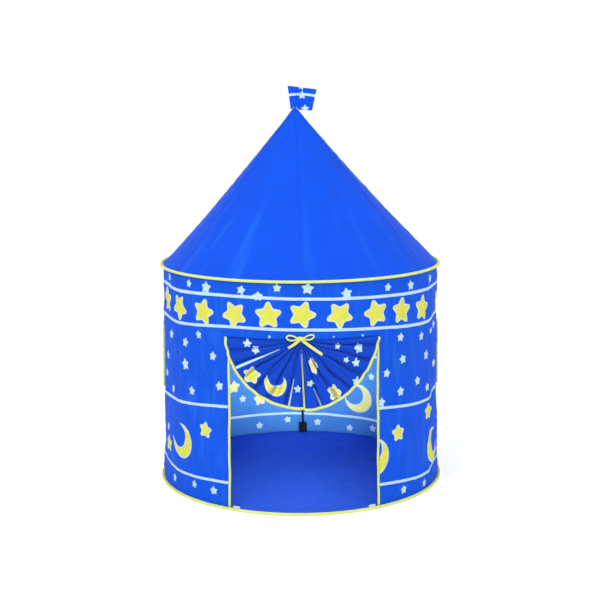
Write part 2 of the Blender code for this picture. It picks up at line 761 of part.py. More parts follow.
def bow_tail(name, side, end):
    """A flat end of the tie, lying just in front of the pleats."""
    radius = wall_radius(0.0, KNOT_LEVEL)
    start = Vector((TAIL_START[0], -TAIL_START[1]))
    finish = Vector((end[0], -end[1]))
    along = (finish - start).normalized()
    across = Vector((along.y, -along.x)) * TAIL_WIDTH / 2
    cloth = CURTAIN_OUTSET + (CURTAIN_CLOTH + TAIL_THICKNESS) / 2 + GAP

    def place(column, row):
        point = between(start, finish, TAIL_ROW_SHARES[row]) + across * (2 * column - 1)
        pleat = 2 * PLEAT_DEPTH * point.length / CURTAIN_DROP
        azimuth = side * point.x / radius + BOW_TURN
        return wall_point(azimuth, KNOT_LEVEL + point.y, cloth + pleat)

    return sheet(name, place, 1, len(TAIL_ROW_SHARES) - 1, TAIL_THICKNESS, YELLOW_TAPE)


def bow():
    """The knot and the two loops, which stay above the door's head."""
    radius = wall_radius(0.0, KNOT_LEVEL)
    outset = CLOTH / 2 + GAP + KNOT_SIZE[1] / 2
    knot = bmesh.new()
    bmesh.ops.create_uvsphere(knot, u_segments=BORE_SIDES, v_segments=ROD_SIDES, radius=1.0)
    bmesh.ops.scale(knot, vec=[size / 2 for size in KNOT_SIZE], verts=knot.verts)
    knot_object = add_object("bow_knot", mesh_from("bow_knot", knot), YELLOW_TAPE)
    knot_object.location = ring_point(radius + outset, BOW_TURN, KNOT_LEVEL)
    smooth(knot_object)
    for name, side in (("left", -1), ("right", 1)):
        path = []
        for along, apart in LOOP_PATH_SHARES:
            across = KNOT_SIZE[0] / 2 + LOOP_LENGTH * along
            level = KNOT_LEVEL + LOOP_LIFT * along + LOOP_WIDTH * apart
            path.append(wall_point(side * across / radius + BOW_TURN, level, outset))
        loop = tube(f"{name}_bow_loop", path, LOOP_CORD_DIAMETER / 2, 2, YELLOW_TAPE)
        smooth(loop)


def door_tape(name, side):
    trim = GAP / WALL_TOP_RADIUS
    width = BINDING_WIDTH / WALL_TOP_RADIUS
    low = SLEEVE_HEIGHT + GAP
    shares = (0.0, *WALL_ROW_SHARES, 1.0)

    def place(column, row):
        turn = DOOR_TURN - trim - width * (1 - column)
        return wall_point(side * turn, between(low, DOOR_TOP - GAP, shares[row]))

    sheet(f"{name}_door_binding", place, 1, len(shares) - 1, BINDING_THICKNESS, YELLOW_TAPE)
    tab = block(f"{name}_door_tab", TAB_SIZE, WHITE_TAB)
    radius = FLOOR_RADIUS - SLEEVE_WIDTH + SLEEVE_HEIGHT / 2
    azimuth = side * TAB_ARC / radius
    tab.location = ring_point(radius, azimuth, SLEEVE_HEIGHT + GAP + TAB_SIZE[2] / 2)
    tab.rotation_euler = (0, 0, azimuth)


def door():
    door_tape("left", -1)
    door_tape("right", 1)
    bow()
    for name, side, tail_end in (("left", -1, LEFT_TAIL), ("right", 1, RIGHT_TAIL)):
        curtain, binding = half_curtain(name, side)
        tail = bow_tail(f"{name}_bow_tail", side, tail_end)
        turn = side * CURTAIN_TURN / 2
        middle = ring_point(wall_radius(turn, CURTAIN_TOP) + CURTAIN_HINGE_OUTSET, turn, CURTAIN_TOP)
        carry(hinge(f"{name}_curtain_axis", middle), curtain, binding, tail)


def main():
    hoop("floor_hoop", FLOOR_RADIUS, FLOOR_SLEEVE_LEVEL)
    hoop("eave_hoop", EAVE_RADIUS, EAVE_HEIGHT)
    floor_panel()
    walls()
    window("left", -1)
    window("right", 1)
    roof()
    for name, azimuth in POLES.items():
        pole_line(name, azimuth)
    mast_and_flag(crown_hub())
    door()


main()
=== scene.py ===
"""Looks of a round children's play tent: printed cloth, tape, a gathered curtain with its bow, net and poles.

Everything is in metres in the part's own frame. An azimuth of zero points at the door and grows towards +X.
"""

import math

import bpy
import numpy as np
from mathutils import Matrix

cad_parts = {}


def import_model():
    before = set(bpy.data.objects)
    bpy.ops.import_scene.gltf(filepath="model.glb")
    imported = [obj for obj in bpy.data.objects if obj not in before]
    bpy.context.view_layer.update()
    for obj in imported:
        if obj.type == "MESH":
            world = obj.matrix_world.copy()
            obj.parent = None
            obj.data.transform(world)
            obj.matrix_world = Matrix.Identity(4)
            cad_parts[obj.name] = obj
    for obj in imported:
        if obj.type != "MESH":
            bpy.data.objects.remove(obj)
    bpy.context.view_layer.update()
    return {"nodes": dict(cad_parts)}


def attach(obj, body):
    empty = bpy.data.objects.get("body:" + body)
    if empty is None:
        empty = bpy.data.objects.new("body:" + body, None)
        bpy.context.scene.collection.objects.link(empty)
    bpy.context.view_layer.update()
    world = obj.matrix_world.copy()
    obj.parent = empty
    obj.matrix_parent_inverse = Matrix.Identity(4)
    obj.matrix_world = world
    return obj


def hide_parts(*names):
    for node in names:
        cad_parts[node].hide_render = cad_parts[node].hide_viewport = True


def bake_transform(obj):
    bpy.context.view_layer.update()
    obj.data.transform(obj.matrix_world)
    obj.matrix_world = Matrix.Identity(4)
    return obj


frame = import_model()

# Sizes that repeat the part's own
WALL_TOP_RADIUS = 0.5117
WALL_BOTTOM_RADIUS = 0.5237
WALL_BOTTOM = 0.00615
WALL_TOP = 0.81385
WALL_WAIST = 0.004
EAVE_RADIUS = 0.525
EAVE_HEIGHT = 0.815
FLOOR_RADIUS = 0.537
SLEEVE_WIDTH = 0.012
SLEEVE_HEIGHT = 0.010
HEM_DEPTH = 0.004
PEAK_HEIGHT = 1.39115
ROOF_RISE = 0.575
ROOF_BASE = PEAK_HEIGHT - ROOF_RISE
ROOF_SAG = 0.13
ROOF_MOUTH = 0.0125
PEAK_LEAN = -0.016
DOOR_TOP = 0.612
DOOR_WIDTH = 0.522
CURTAIN_WIDTH = 0.530
CURTAIN_TOP = 0.616
CURTAIN_DROP = 0.243
CURTAIN_OUTSET = 0.0031
CURTAIN_HEART = 0.004
PLEATS = 7
PLEAT_DEPTH = 0.004
BINDING_WIDTH = 0.010
KNOT_LEVEL = 0.621
KNOT_OUTSET = 0.0083
BOW_SHIFT = -0.011
WINDOW_BOTTOM = 0.35
WINDOW_TOP = 0.59
WINDOW_START = math.radians(84)
WINDOW_END = math.radians(114)
POLE_TURN = math.radians(60)
MAST_X = -0.015498
FLAG_WIDTH = 0.112
FLAG_LEFT = (-0.0162, -0.0267)
FLAG_RIGHT = (0.0628, 0.0801)
FLAG_LOW = 1.39315
FLAG_HEIGHT = 0.074
FLAG_DROOP = 0.0136

DOOR_TURN = math.asin(DOOR_WIDTH / 2 / WALL_TOP_RADIUS)
CURTAIN_TURN = math.asin(CURTAIN_WIDTH / 2 / WALL_TOP_RADIUS)
BOW_TURN = BOW_SHIFT / WALL_TOP_RADIUS
ROOF_LENGTH = math.hypot(ROOF_RISE, WALL_TOP_RADIUS)
ROOF_SLOPE = math.atan2(ROOF_RISE, WALL_TOP_RADIUS)
ROOF_SECTOR = 0.6587
GORE = math.pi / 3
FULL = 2 * math.pi
OUTWARD = (1, 1, 0.4)

# Cloth, tape and print
CLOTH = 0.0008
TAPE = 0.0022
BINDING = 0.0030
NET_STRAND = 0.0006
NET_CELLS = (52, 48)
NET_SHARE = 0.24
WINDOW_TAPE = 0.0056
WINDOW_PROUD = 0.0038
TAB_LENGTH = 0.027
TAB_HEIGHT = 0.0078
TAB_THICKNESS = 0.0015
TAB_ARC = 0.246
KNOT_WIDTH = 0.0280
KNOT_DEPTH = 0.0136
CHANNEL_DEPTH = 0.0052
CELL = 0.0052
THREAD = 0.0011
STITCH = 0.0036
STITCH_INSET = 0.0018
NO_STITCH = 1.0
SEAM_ALLOWANCE = 0.0100
WALL_RIPPLE = 0.0022
ROOF_RIPPLE = 0.0030
PRINT_EDGE = 0.0006
RIM_EDGES = (0.0052, 0.0040)
WHITE_STAR = (0.46, 0.14)
BAND_RADIUS = 43
SIDE_STARS = 13
LINE_WIDTH = 0.0102
LINE_TILT = 0.009
LINES = (0.7557, 0.6495, 0.3674, 0.093)


def srgb(red, green, blue):
    """A screen colour of 0 to 255 as the linear colour that a shader takes."""
    shares = [value / 255 for value in (red, green, blue)]
    linear = [s / 12.92 if s <= 0.04045 else ((s + 0.055) / 1.055) ** 2.4 for s in shares]
    return (*linear, 1.0)


ROOF_BLUE = srgb(23, 94, 250)
WALL_BLUE = srgb(25, 99, 246)
# The curtain is the walls' cloth; its darker blue is painted shade for the pleats' self-shading.
CURTAIN_SHADED_BLUE = srgb(23, 77, 213)
FLOOR_BLUE = srgb(48, 91, 214)
# The inside faces of the same cloth: a lighter, paler blue, painted light for the daylight that shines through the
# cloth.
INSIDE_LIT_BLUE = srgb(84, 154, 218)
PRINT_WHITE = srgb(215, 245, 255)
PRINT_YELLOW = srgb(243, 244, 104)
PRINT_PALE = srgb(250, 251, 165)
PRINT_RIM = srgb(240, 252, 238)
TAPE_YELLOW = srgb(228, 238, 126)
TAB_WHITE = srgb(228, 234, 242)
NET_BLUE = srgb(44, 96, 226)
ROD_BLACK = srgb(26, 27, 30)
PLASTIC_BLACK = srgb(22, 22, 24)
STEEL = srgb(168, 170, 174)
PAPER = srgb(248, 248, 250)
# Painted sheen: the light blue of the walls' streaks
PAINTED_SHEEN_BLUE = (0.05, 0.28, 1.0, 1.0)
# Painted highlight: the light blue of the roof's streaks
PAINTED_ROOF_HIGHLIGHT = (0.030, 0.250, 1.0, 1.0)
GLOW_BLUE = (0.10, 0.34, 1.0, 1.0)
# Painted shade along the roof's seams
SEAM_SHADE = (0.003, 0.030, 0.30, 1.0)
# Painted shade in the curtain's pleats
FOLD_SHADE = (0.002, 0.010, 0.10, 1.0)
GLOSS_BLUE = (0.75, 0.92, 1.0, 1.0)
WHITE = (1.0, 1.0, 1.0, 1.0)


# Shapes

def ring(radius, azimuth, height):
    radius, azimuth, height = np.broadcast_arrays(radius, azimuth, height)
    return np.stack([radius * np.sin(azimuth), -radius * np.cos(azimuth), height], -1)


def pole_slack(azimuth):
    """Zero over the three poles, and one midway between two of them."""
    return np.abs(np.sin(1.5 * (azimuth - POLE_TURN)))


def wall_radius(azimuth, height):
    share = (height - WALL_BOTTOM) / (WALL_TOP - WALL_BOTTOM)
    straight = WALL_BOTTOM_RADIUS + (WALL_TOP_RADIUS - WALL_BOTTOM_RADIUS) * share
    return straight - WALL_WAIST * 4 * share * (1 - share) * pole_slack(azimuth)


def wall_point(azimuth, height, outset=0.0):
    return ring(wall_radius(azimuth, height) + outset, azimuth, height)


def smooth_step(value, low, high):
    share = np.clip((value - low) / (high - low), 0, 1)
    return share * share * (3 - 2 * share)


def hump(value, width):
    """One at zero, falling away on both sides over about a width."""
    return np.exp(-((value / width) ** 2))


def wrapped(value, period=FULL):
    """The signed distance to the nearest whole period."""
    return (value + period / 2) % period - period / 2


def full_turn(count):
    return np.linspace(0, FULL, count, endpoint=False)


def ripple(across, along, seed, short, long, waves, lean=None):
    """A smooth creased field of about unit height, made of plane waves of seeded directions."""
    rng = np.random.default_rng(seed)
    total = np.zeros(np.broadcast(across, along).shape)
    for _ in range(waves):
        length = rng.uniform(short, long)
        turn = rng.uniform(0, math.pi) if lean is None else rng.normal(*lean)
        phase = rng.uniform(0, FULL)
        total += np.sin(FULL * (across * math.cos(turn) + along * math.sin(turn)) / length + phase)
    return total / math.sqrt(waves)


def gathers(along, pitch, wander, rate):
    """Small folds that cross a seam, unevenly spaced."""
    return np.sin(along * FULL / pitch + wander * np.sin(along * rate))


def cloth_facts(across, along, white=None, yellow=None):
    """Where each point lies on the flat cloth, and its distances to the prints if it has any."""
    across, along = np.broadcast_arrays(across, along)
    facts = {"cloth": np.stack([across, along, np.zeros_like(across)], -1)}
    if white is not None:
        facts |= {"white_print": white, "yellow_print": yellow}
    return facts


def put(name, data):
    """A new object in the scene."""
    obj = bpy.data.objects.new(name, data)
    bpy.context.scene.collection.objects.link(obj)
    return obj


def grid_object(name, points, facts, keep=None, wrap=False, face=OUTWARD):
    """A quad grid of rows by columns points, with one named value for each point in facts.

    Its faces turn away from the tent's axis, or along face where that is a single direction.
    """
    rows, columns = points.shape[:2]
    index = np.arange(rows * columns).reshape(rows, columns)
    if wrap:
        index = np.concatenate([index, index[:, :1]], axis=1)
    faces = np.stack([index[:-1, :-1], index[:-1, 1:], index[1:, 1:], index[1:, :-1]], -1)
    faces = faces.reshape(-1, 4) if keep is None else faces[keep]
    used, faces = np.unique(faces, return_inverse=True)
    faces = faces.reshape(-1, 4)
    places = points.reshape(-1, 3)[used]
    corners = places[faces]
    normals = np.cross(corners[:, 2] - corners[:, 0], corners[:, 3] - corners[:, 1])
    outward = corners.mean(1) * face if face[0] else face
    if np.sum(normals * outward) < 0:
        faces = faces[:, ::-1]
    mesh = bpy.data.meshes.new(name)
    mesh.vertices.add(len(used))
    mesh.vertices.foreach_set("co", places.ravel())
    mesh.loops.add(faces.size)
    mesh.loops.foreach_set("vertex_index", faces.ravel())
    mesh.polygons.add(len(faces))
    mesh.polygons.foreach_set("loop_start", np.arange(0, faces.size, 4))
    mesh.update(calc_edges=True)
    for label, values in facts.items():
        kind, field = ("FLOAT_VECTOR", "vector") if values.ndim == 3 else ("FLOAT", "value")
        flat = values.reshape(rows * columns, -1)[used].astype(np.float32)
        mesh.attributes.new(label, kind, "POINT").data.foreach_set(field, flat.ravel())
    mesh.shade_smooth()
    return put(name, mesh)


def settle(obj):
    """Takes the object's modifiers into its mesh."""
    bpy.context.view_layer.update()
    graph = bpy.context.evaluated_depsgraph_get()
    mesh = bpy.data.meshes.new_from_object(obj.evaluated_get(graph))
    obj.modifiers.clear()
    obj.data = mesh
    return obj


def thicken(obj, thickness, outside, inside=None):
    """Gives a sheet its thickness, with one material outside and another inside."""
    obj.data.materials.append(outside)
    obj.data.materials.append(inside or outside)
    shell = obj.modifiers.new("thickness", "SOLIDIFY")
    shell.thickness = thickness
    shell.offset = 0.0
    shell.use_even_offset = False
    shell.material_offset = 1
    return settle(obj)


def without(columns, rows):
    """The grid's faces, less those in the marked columns that are also in the marked rows."""
    return ~(columns[None, :] & rows[:, None])


def lengths(path):
    steps = np.linalg.norm(np.diff(path, axis=0), axis=1)
    return np.concatenate([[0], np.cumsum(steps)])


def strip(name, centre, across, out, width, thickness, closed=False):
    """A flat tape along a path, with rounded edges and, unless it is closed, rounded ends."""
    count = len(centre)
    turns = full_turn(14)
    flat = np.sign(np.cos(turns)) * np.abs(np.cos(turns)) ** 0.45 / 2
    thick = np.sign(np.sin(turns)) * np.abs(np.sin(turns)) ** 0.75 / 2
    end = np.ones(count)
    if not closed:
        end[[0, -1]] = 0.0
        end[[1, -2]] = 0.72
    side = flat[None, :] * (np.broadcast_to(width, count) * end)[:, None]
    rise = thick[None, :] * (np.broadcast_to(thickness, count) * end)[:, None]
    points = centre[:, None] + across[:, None] * side[..., None] + out[:, None] * rise[..., None]
    walked = lengths(centre)
    cloth = np.stack([side, np.broadcast_to(walked[:, None], side.shape), rise], -1)
    if closed:
        points = np.concatenate([points, points[:1]])
        cloth = np.concatenate([cloth, cloth[:1] + [0, walked[-1], 0]])
    return weld(grid_object(name, points, {"cloth": cloth}, wrap=True))


def weld(obj):
    join = obj.modifiers.new("weld", "WELD")
    join.merge_threshold = 0.00001
    settle(obj)
    obj.data.shade_smooth()
    return obj


def unit(vectors):
    return vectors / np.linalg.norm(vectors, axis=-1, keepdims=True)


def outwards(points):
    """Level unit directions away from the tent's axis."""
    return unit(points * [1, 1, 0])


def path_sides(centre):
    """Unit directions outwards from a path on the wall and across it."""
    out = outwards(centre)
    return out, unit(np.cross(unit(np.gradient(centre, axis=0)), out))


def with_ends(values, margin=0.0006):
    """Path parameters with a close pair at each end, for a strip's rounded ends."""
    step = margin * (values[-1] - values[0])
    return np.concatenate([values[:1], values[:1] + step, values[1:-1], values[-1:] - step, values[-1:]])


# Printed shapes

def star_distance(x, y, radius, turn, waist=0.50, soft=0.10):
    """Signed distance to a five-pointed star with rounded tips, one of them up at no turn."""
    reach = np.hypot(x, y)
    angle = np.arctan2(x, y) - turn
    step = FULL / 5
    fold = np.abs(wrapped(angle, step))
    tip = radius * (1 - soft)
    run, rise = tip * (waist * math.cos(step / 2) - 1), tip * waist * math.sin(step / 2)
    px, py = reach * np.cos(fold) - tip, reach * np.sin(fold)
    share = np.clip((px * run + py * rise) / (run * run + rise * rise), 0, 1)
    far = np.hypot(px - share * run, py - share * rise)
    return np.where(run * py - rise * px < 0, far, -far) - radius * soft


def crescent_distance(x, y, radius, turn, offset=0.42, bite=0.80):
    """Signed distance to a crescent whose mouth faces the turn, counted from the right upwards."""
    outer = np.hypot(x, y) - radius
    cut_x, cut_y = radius * offset * math.cos(turn), radius * offset * math.sin(turn)
    inner = np.hypot(x - cut_x, y - cut_y) - radius * bite
    return np.maximum(outer, -inner)


# Stars of the yellow band between the upper lines: azimuth, height, turn in degrees
BAND = (
    (-71.5, 0.701, 0), (-58, 0.692, 180), (-42.3, 0.692, 14), (-27.5, 0.695, -28), (-13.6, 0.698, 0),
    (-0.6, 0.702, 20), (13.9, 0.697, 180), (29.2, 0.694, -16), (42.4, 0.689, 4), (56.6, 0.682, 10),
    (79, 0.676, -14),
)
# White stars: azimuth, height, radius in millimetres, turn
UPPER = (
    (-69.3, 0.786, 17, 0), (-51, 0.783, 16, 8), (-41.1, 0.779, 22, 4), (-24.5, 0.781, 17, 14),
    (-17.6, 0.763, 18, 0), (-10.1, 0.793, 16, 0), (1.5, 0.791, 22, 6), (16.6, 0.770, 21, -8),
    (35, 0.778, 16, 10), (47.8, 0.773, 19, 0), (65.4, 0.776, 18, -12),
)
LEFT = (
    (-66.2, 0.581, 19, 0), (-53.9, 0.569, 18, 10), (-45.5, 0.607, 17, -6), (-37.7, 0.540, 18, 6),
    (-53.7, 0.490, 23, -12), (-72.3, 0.493, 18, 0), (-74.8, 0.423, 18, 0), (-65.6, 0.378, 17, 16),
    (-49.6, 0.400, 18, 0), (-34.6, 0.437, 18, -14), (-64.2, 0.046, 17, 0), (-48.5, 0.059, 16, 12),
    (-37.6, 0.056, 17, -4), (-72.7, 0.222, 17, 0),
)
RIGHT = (
    (41.7, 0.596, 17, 8), (55.9, 0.580, 18, 0), (69.2, 0.603, 17, 0), (42.9, 0.516, 18, -10),
    (60.3, 0.504, 20, 12), (70.2, 0.457, 18, 0), (34.4, 0.476, 17, 14), (52.3, 0.423, 18, 0),
    (61.2, 0.383, 18, -8), (41.5, 0.402, 19, 0), (31.7, 0.376, 18, 10), (43.4, 0.039, 17, 0),
    (58, 0.030, 17, 14), (65.7, 0.585, 14, 8),
)
HEAD = ((-13.2, 0.624, 7, 0), (11.6, 0.624, 6, 10), (23.2, 0.621, 6, 0))
BACK = (
    (206.9, 0.165, 17, 0), (143.7, 0.266, 17, 0), (151.6, 0.238, 14, 10), (198.5, 0.040, 17, 0),
    (184.9, 0.056, 16, 8), (170.9, 0.046, 17, 0), (155.3, 0.030, 16, -8), (143.1, 0.043, 17, 0),
)
# Yellow shapes of the lower band: azimuth, height, radius, turn
LOWER_STARS = (
    (-42.1, 0.269, 26, 8), (-70.5, 0.163, 28, 0), (40.3, 0.253, 26, 0), (62.3, 0.290, 27, 4), (198.2, 0.156, 24, 6),
    (211.6, 0.222, 24, 0),
)
CRESCENTS = (
    (-57.2, 0.202, 60, 139), (27.3, 0.183, 66, 107), (68.6, 0.149, 61, 32), (150.6, 0.164, 57, 35),
)
# The stars that the sides and the back repeat, each set turned round by so many degrees
REPEATS = ((LEFT, 178), (RIGHT, 114), (LEFT, 280), (RIGHT, 211))
REPEAT_END = 273


def arc(azimuth, centre):
    """Distance round the wall from an azimuth given in degrees."""
    return wrapped(azimuth - math.radians(centre)) * WALL_TOP_RADIUS


def line_sag(azimuth, height):
    """How far the printed lines dip towards the two front seams, where the poles draw the cloth down."""
    round_wall = wrapped(azimuth)
    past = np.abs(round_wall) - POLE_TURN - 0.035
    share = np.clip(height / WALL_TOP, 0.01, 0.99)
    bulge = (4 * share * (1 - share)) ** 0.65
    left = round_wall < 0
    deep = np.where(left, 0.0295 * bulge, 0.022 * (1 - hump(1 - share, 0.20)))
    stays = np.where(left, bulge, 0.05)
    beyond = stays + (1 - stays) * hump(past, np.where(left, 0.12, 0.08))
    before = hump(past, np.where(left, 0.40, 0.50))
    behind = smooth_step(np.abs(round_wall), 1.6, 2.6)
    back = 0.0088 * (1 - np.exp(-(1 - share) / 0.11))
    return deep * np.where(past < 0, before, beyond) * (1 - behind) + back * behind


def white_shapes():
    shapes = [*UPPER, *LEFT, *RIGHT, *HEAD, *BACK]
    for group, shift in REPEATS:
        for azimuth, height, radius, turn in group:
            lower = 0.10 < height < 0.34 or height < 0.08 and 140 < azimuth + shift < 212
            if azimuth + shift < REPEAT_END and not lower:
                shapes.append((azimuth + shift, height, radius, turn))
    for step in range(SIDE_STARS):
        shapes.append((88 + 14.5 * step, 0.774 + 0.012 * math.sin(2.4 * step), 18 + 3 * (step % 3 == 0), 23 * step))
    return shapes


def yellow_stars():
    shapes = [(azimuth, height, BAND_RADIUS, turn) for azimuth, height, turn in BAND]
    for step in range(SIDE_STARS):
        shapes.append((89 + 15.2 * step, 0.683, BAND_RADIUS, (0, 180, 16, -26, 8)[step % 5]))
    for centre, turn in ((100, 0), (236, 20), (268, 8)):
        shapes.append((centre, 0.262, 26, turn))
    return [*shapes, *LOWER_STARS]


def yellow_crescents():
    return [*CRESCENTS, (108, 0.165, 66, 20), (250, 0.170, 66, 145)]


def stamped(print_at, distance, shapes, azimuth, height, *form):
    """A print's signed distances with more shapes in it, turns in degrees and radii in millimetres."""
    for centre, middle, radius, turn in shapes:
        x, y = arc(azimuth, centre), height - middle
        print_at = np.minimum(print_at, distance(x, y, radius / 1000, math.radians(turn), *form))
    return print_at


def wall_prints(azimuth, height):
    """Signed distances of every cloth point to the white and to the yellow print."""
    level = height + line_sag(azimuth, height) + LINE_TILT * np.sin(azimuth)
    white = np.min([np.abs(level - line) - LINE_WIDTH / 2 for line in LINES], axis=0)
    white = stamped(white, star_distance, white_shapes(), azimuth, height, *WHITE_STAR)
    yellow = stamped(np.full_like(white, 1.0), star_distance, yellow_stars(), azimuth, height)
    return white, stamped(yellow, crescent_distance, yellow_crescents(), azimuth, height)


# Materials

class Recipe:
    """The node tree of a material or of the world, built by short calls."""

    def __init__(self, holder):
        holder.use_nodes = True
        self.holder = holder
        self.tree = holder.node_tree
        self.tree.nodes.clear()

    def node(self, kind, inputs=None, **settings):
        made = self.tree.nodes.new(kind)
        for key, value in settings.items():
            setattr(made, key, value)
        for key, value in (inputs or {}).items():
            if isinstance(value, bpy.types.NodeSocket):
                self.tree.links.new(value, made.inputs[key])
            else:
                made.inputs[key].default_value = value
        return made

    def math(self, operation, first, second=0.0):
        return self.node("ShaderNodeMath", {0: first, 1: second}, operation=operation).outputs[0]

    def attribute(self, name, output="Fac"):
        return self.node("ShaderNodeAttribute", attribute_name=name).outputs[output]

    def mix(self, share, first, second):
        return self.node("ShaderNodeMix", {0: share, 6: first, 7: second}, data_type="RGBA").outputs[2]

    def remap(self, value, low, high, to_low=0.0, to_high=1.0):
        inputs = {"Value": value, "From Min": low, "From Max": high, "To Min": to_low, "To Max": to_high}
        return self.node("ShaderNodeMapRange", inputs).outputs[0]

    def noise(self, place, scale, detail, distortion=0.0):
        inputs = {"Vector": place, "Scale": scale, "Detail": detail, "Distortion": distortion}
        return self.node("ShaderNodeTexNoise", inputs).outputs["Fac"]

    def bumps(self, *layers):
        """Bumps over one another, each given by its height, strength and distance."""
        normal = {}
        for height, strength, distance in layers:
            inputs = {"Height": height, "Strength": strength, "Distance": distance, **normal}
            normal = {"Normal": self.node("ShaderNodeBump", inputs).outputs[0]}
        return normal["Normal"]

    def parts(self, place):
        return self.node("ShaderNodeSeparateXYZ", {0: place}).outputs

    def wave(self, value, pitch):
        return self.math("SINE", self.math("MULTIPLY", value, FULL / pitch))

    def weave(self, place, pitch):
        """Threads that cross, as a height of -1 to 1."""
        across, along = self.parts(place)[:2]
        return self.math("MULTIPLY", self.wave(across, pitch), self.wave(along, pitch))

    def shader(self, colour, roughness, normal, sheen=0.0, metallic=0.0, specular=0.5, tint=WHITE):
        inputs = {
            "Base Color": colour,
            "Roughness": roughness,
            "Sheen Weight": sheen,
            "Sheen Roughness": 0.5,
            "Metallic": metallic,
            "Specular IOR Level": specular,
            "Specular Tint": tint,
            "Normal": normal,
        }
        return self.node("ShaderNodeBsdfPrincipled", inputs).outputs[0]

    def finish(self, surface):
        self.node("ShaderNodeOutputMaterial", {"Surface": surface})
        return self.holder


def new_material(name):
    return Recipe(bpy.data.materials.new(name))


def varied(recipe, place, colour, depth=0.05, scale=7.0):
    """A colour that drifts a little over the cloth."""
    drift = recipe.noise(place, scale, 4.0, 0.4)
    share = recipe.remap(drift, 0.3, 0.7, 1 - depth, 1 + depth)
    value = recipe.node("ShaderNodeHueSaturation", {"Color": colour, "Value": share})
    return value.outputs[0]


def roof_seam_shade_and_highlights(recipe, surface):
    """Painted shade along the roof's stitched seams and beside their allowance, and the roof's painted highlight
    streaks.
    """
    seam = recipe.attribute("seam")
    line = recipe.remap(recipe.math("ABSOLUTE", seam), 0.0016, 0.0004)
    beside = recipe.math("ABSOLUTE", recipe.math("SUBTRACT", seam, SEAM_ALLOWANCE))
    line = recipe.math("MAXIMUM", line, recipe.math("MULTIPLY", recipe.remap(beside, 0.0012, 0.0004), 0.5))
    line = recipe.math("MULTIPLY", line, recipe.attribute("seam_shade_strength"))
    # Painted shade: dark lines along each seam and beside its allowance.
    surface = recipe.mix(line, surface, SEAM_SHADE)
    # Painted highlight streaks on the roof.
    return recipe.mix(recipe.math("MULTIPLY", recipe.attribute("painted_streak"), 0.45), surface, PAINTED_ROOF_HIGHLIGHT)


def inked(recipe, place, surface, passed, ink):
    """The print, on the cloth and in the light that passes through it."""
    yellow = recipe.attribute("yellow_print")
    fill = recipe.remap(yellow, PRINT_EDGE, -PRINT_EDGE)
    line = recipe.remap(recipe.attribute("white_print"), PRINT_EDGE, -PRINT_EDGE)
    surface = recipe.mix(recipe.remap(yellow, *RIM_EDGES), surface, PRINT_RIM)
    surface = recipe.mix(fill, surface, varied(recipe, place, ink, 0.05, 30.0))
    passed = recipe.mix(fill, passed, PRINT_YELLOW)
    return recipe.mix(line, surface, PRINT_WHITE), recipe.mix(line, passed, PRINT_WHITE)


def cloth_material(name, colour, through, crinkle=0.35, ink=None, painted_sheen=False, shaded_seams=False, fold_shaded=False):
    """Thin woven polyester: a print, fine crinkles, a weave, and some light through it, with painted sheen streaks,
    painted shade along seams and painted shade between pleats where asked.
    """
    recipe = new_material(name)
    place = recipe.attribute("cloth", "Vector")
    surface = varied(recipe, place, colour)
    if painted_sheen:
        # Painted sheen: light diagonal streaks where wrinkles would catch the light.
        turned = recipe.node("ShaderNodeMapping", {"Vector": place, "Rotation": (0, 0, 0.42), "Scale": (1, 0.24, 1)})
        painted_streak = recipe.remap(recipe.noise(turned.outputs[0], 26.0, 3.0, 0.6), 0.52, 0.74, 0.0, 0.30)
        surface = recipe.mix(painted_streak, surface, PAINTED_SHEEN_BLUE)
    if shaded_seams:
        surface = roof_seam_shade_and_highlights(recipe, surface)
    passed = recipe.mix(0.35, surface, GLOW_BLUE)
    if ink:
        surface, passed = inked(recipe, place, surface, passed, ink)
    if fold_shaded:
        # Painted shade between the curtain's pleats and near the bow.
        depth = recipe.math("MULTIPLY", recipe.attribute("fold"), 0.80)
        surface = recipe.mix(depth, surface, FOLD_SHADE)
    creases = recipe.noise(place, 24.0, 5.0, 0.8)
    fine = recipe.noise(place, 160.0, 3.0, 0.2)
    threads = recipe.weave(place, THREAD)
    normal = recipe.bumps((creases, crinkle, 0.006), (fine, 0.12, 0.0012), (threads, 0.10, 0.0002))
    roughness = recipe.remap(creases, 0.2, 0.8, 0.46, 0.62)
    front = recipe.shader(surface, roughness, normal, specular=0.08, tint=GLOSS_BLUE)
    back = recipe.node("ShaderNodeBsdfTranslucent", {"Color": passed, "Normal": normal}).outputs[0]
    mixed = recipe.node("ShaderNodeMixShader", {0: through, 1: front, 2: back}).outputs[0]
    return recipe.finish(mixed)


def tape_material(name, colour, stitch_at, rib=0.0012):
    """Woven binding tape with ribs across it and a line of stitches on each side."""
    recipe = new_material(name)
    place = recipe.attribute("cloth", "Vector")
    across, along = recipe.parts(place)[:2]
    side = recipe.math("SUBTRACT", recipe.math("ABSOLUTE", across), stitch_at)
    near = recipe.math("LESS_THAN", recipe.math("ABSOLUTE", side), 0.0005)
    run = recipe.math("FRACT", recipe.math("DIVIDE", along, STITCH))
    stitch = recipe.math("MULTIPLY", near, recipe.math("LESS_THAN", run, 0.7))
    surface = varied(recipe, place, colour, 0.07, 40.0)
    dark = (colour[0] * 0.72, colour[1] * 0.70, colour[2] * 0.55, 1.0)
    surface = recipe.mix(recipe.math("MULTIPLY", stitch, 0.7), surface, dark)
    sunk = recipe.math("MULTIPLY", stitch, -1.0)
    rough = recipe.noise(place, 90.0, 4.0, 0.4)
    normal = recipe.bumps((recipe.wave(along, rib), 0.18, 0.0002), (sunk, 0.5, 0.0006), (rough, 0.30, 0.0015))
    return recipe.finish(recipe.shader(surface, 0.62, normal, sheen=0.15, specular=0.3))


